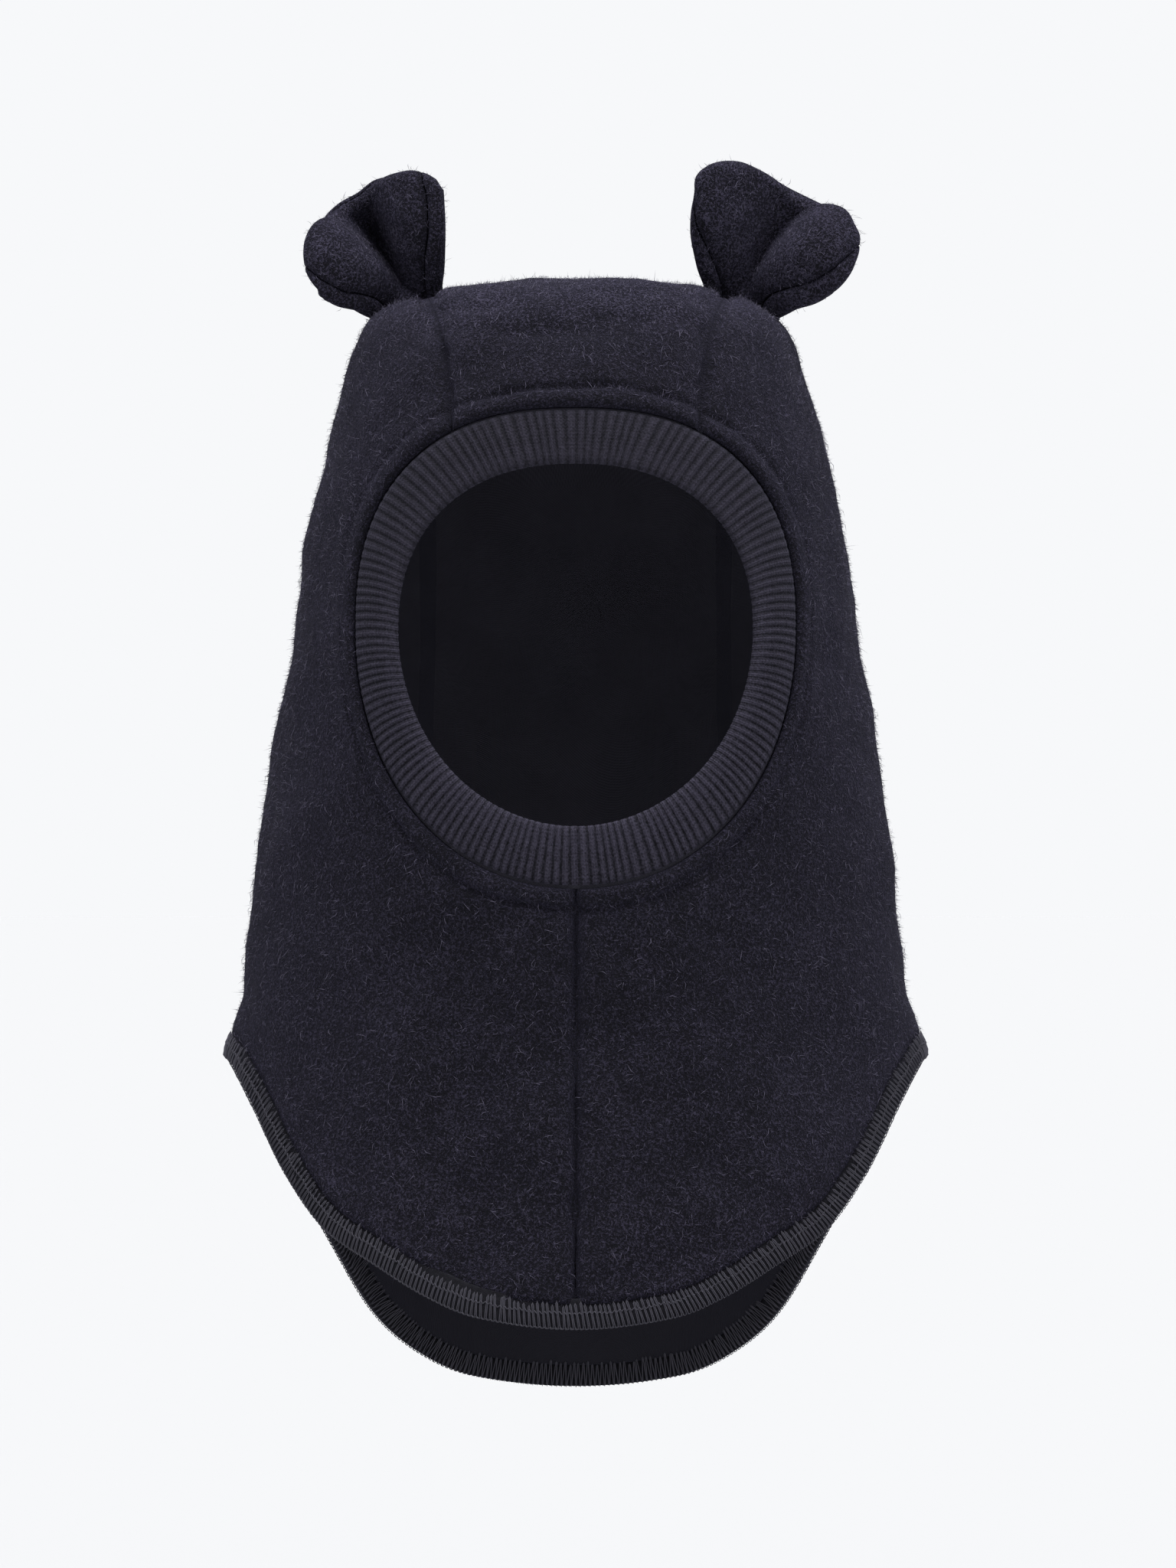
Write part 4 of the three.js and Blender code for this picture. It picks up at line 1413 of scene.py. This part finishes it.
def hair_ends(rng, points, normals, down_way, sizes, standing):
    """Root and tip of a hair at each point, brushed roughly one way and standing off a little."""
    count = len(points)
    side_way = np.cross(normals, down_way)
    swirl = 1.1 * ripple(points, 0.05, 71) + rng.normal(size=count) * 0.95
    lying = down_way * np.cos(swirl)[:, None] + side_way * np.sin(swirl)[:, None]
    if standing:
        lift, length = rng.uniform(0.35, 1.5, count), 0.0006 + rng.gamma(1.5, 0.0004, count)
    else:
        lift, length = rng.uniform(0.04, 0.3, count), 0.0012 + rng.gamma(4.0, 0.00055, count)
    way = lying * np.cos(lift)[:, None] + normals * np.sin(lift)[:, None]
    root = points - normals * root_depth
    return root, root + way * (np.minimum(length, longest_hair) * sizes)[:, None]


def spokes(root, tip, radius):
    """Three points round a hair, to add to a point on it."""
    way = unit(tip - root)
    helper = np.where(np.abs(way[:, 2:3]) > 0.8, [1.0, 0.0, 0.0], [0.0, 0.0, 1.0])
    first = unit(np.cross(way, helper))
    second = np.cross(way, first)
    turns = [2 * math.pi * k / 3 for k in range(3)]
    return [(first * math.cos(t) + second * math.sin(t)) * radius[:, None] for t in turns]


# The faces of a bent hair, pointed at both ends, and of a straight one, widest at its root
bent_faces = np.array([[0, 2, 1], [0, 3, 2], [0, 1, 3], [4, 1, 2], [4, 2, 3], [4, 3, 1]])
straight_faces = np.array([[0, 2, 1], [0, 1, 3], [1, 2, 3], [2, 0, 3]])


def all_faces(hairs, faces):
    """The faces of one hair, repeated for each of them."""
    firsts = np.arange(len(hairs))[:, None, None] * hairs.shape[1]
    return (faces[None] + firsts).reshape(-1, 3)


rng = np.random.default_rng(70)
for name, (lying_count, standing_count, colour) in hair_tones.items():
    points, normals, down_way, sizes = hair_places(rng, lying_count)
    root, tip = hair_ends(rng, points, normals, down_way, sizes, False)
    bend = unit(rng.normal(size=root.shape)) * np.linalg.norm(tip - root, axis=-1)[:, None] * 0.2
    bend -= normals * np.minimum(np.sum(bend * normals, axis=-1), 0)[:, None]
    radius = lying_radius * rng.uniform(0.6, 1.25, len(root))
    belly = [(root + tip) / 2 + bend + spoke for spoke in spokes(root, tip, radius)]
    bent = np.stack([root, *belly, tip], axis=1)
    points, normals, down_way, sizes = hair_places(rng, standing_count)
    root, tip = hair_ends(rng, points, normals, down_way, sizes, True)
    radius = standing_radius * rng.uniform(0.7, 1.3, len(root)) * sizes
    straight = np.stack([*[root + spoke for spoke in spokes(root, tip, radius)], tip], axis=1)
    points = np.concatenate([bent.reshape(-1, 3), straight.reshape(-1, 3)])
    bent_triangles, straight_triangles = all_faces(bent, bent_faces), all_faces(straight, straight_faces)
    triangles = np.concatenate([bent_triangles, straight_triangles + bent.shape[0] * bent.shape[1]])
    nap = mesh_from(name, points, triangles)
    nap.data.materials.append(thread_finish(f"{name}_hair", colour))
    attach(nap, "root")


# The room: a pale floor and a pale, even studio sky, with a large soft
# light from above and weaker ones from both sides and from the front.

floor_drop = 0.42
floor_colour = (0.475, 0.4785, 0.4865, 1.0)
pale = (0.93, 0.939, 0.956)
sky_light = 0.28  # the sky lights less than it shows, so that the lamps model the cloth
floor = new_primitive(
    "floor", bpy.ops.mesh.primitive_circle_add,
    vertices=96, radius=30.0, fill_type="NGON", location=(0, 0, -floor_drop),
)
floor_paint, _ = new_material(
    "pale_floor", {"Base Color": floor_colour, "Roughness": 1.0, "Specular IOR Level": 0.0}
)
floor.data.materials.append(floor_paint)

world = bpy.data.worlds.new("studio_sky")
bpy.context.scene.world = world
world.use_nodes = True
sky = world.node_tree.nodes["Background"]
sky.inputs["Color"].default_value = (*pale, 1.0)
seen = Signal(world.node_tree, world.node_tree.nodes.new("ShaderNodeLightPath").outputs[0])
brightness = sky_light + seen * (1.0 - sky_light)
world.node_tree.links.new(brightness.socket, sky.inputs["Strength"])


def soft_light(name, strength, angle, turn):
    light = bpy.data.lights.new(name, "SUN")
    light.energy = strength
    light.angle = math.radians(angle)
    lamp = bpy.data.objects.new(name, light)
    lamp.rotation_euler = tuple(math.radians(part) for part in turn)
    bpy.context.scene.collection.objects.link(lamp)


soft_light("top_light", 4.8, 50, (9, 0, 10))
soft_light("right_light", 1.0, 60, (75, 0, 75))
soft_light("left_light", 0.72, 60, (75, 0, -75))
soft_light("front_light", 0.42, 60, (76, 0, 8))

photo_height_px = 2048
photo_width_px = 1536
photo_scale = 0.000235  # metres for each pixel of the photo
photo_middle_px = 752
photo_crown_px = 366
lens = 400.0
sensor = 36.0

camera_data = bpy.data.cameras.new("camera")
camera_data.lens = lens
camera_data.sensor_width = sensor
camera_data.clip_end = 100.0
camera = bpy.data.objects.new("camera", camera_data)
bpy.context.scene.collection.objects.link(camera)
frame_height = photo_height_px * photo_scale
camera.location = (
    (photo_width_px / 2 - photo_middle_px) * photo_scale,
    -frame_height * lens / sensor,
    crown_top - (photo_height_px / 2 - photo_crown_px) * photo_scale,
)
camera.rotation_euler = (math.pi / 2, 0, 0)
bpy.context.scene.camera = camera
bpy.context.scene.view_settings.view_transform = "Standard"
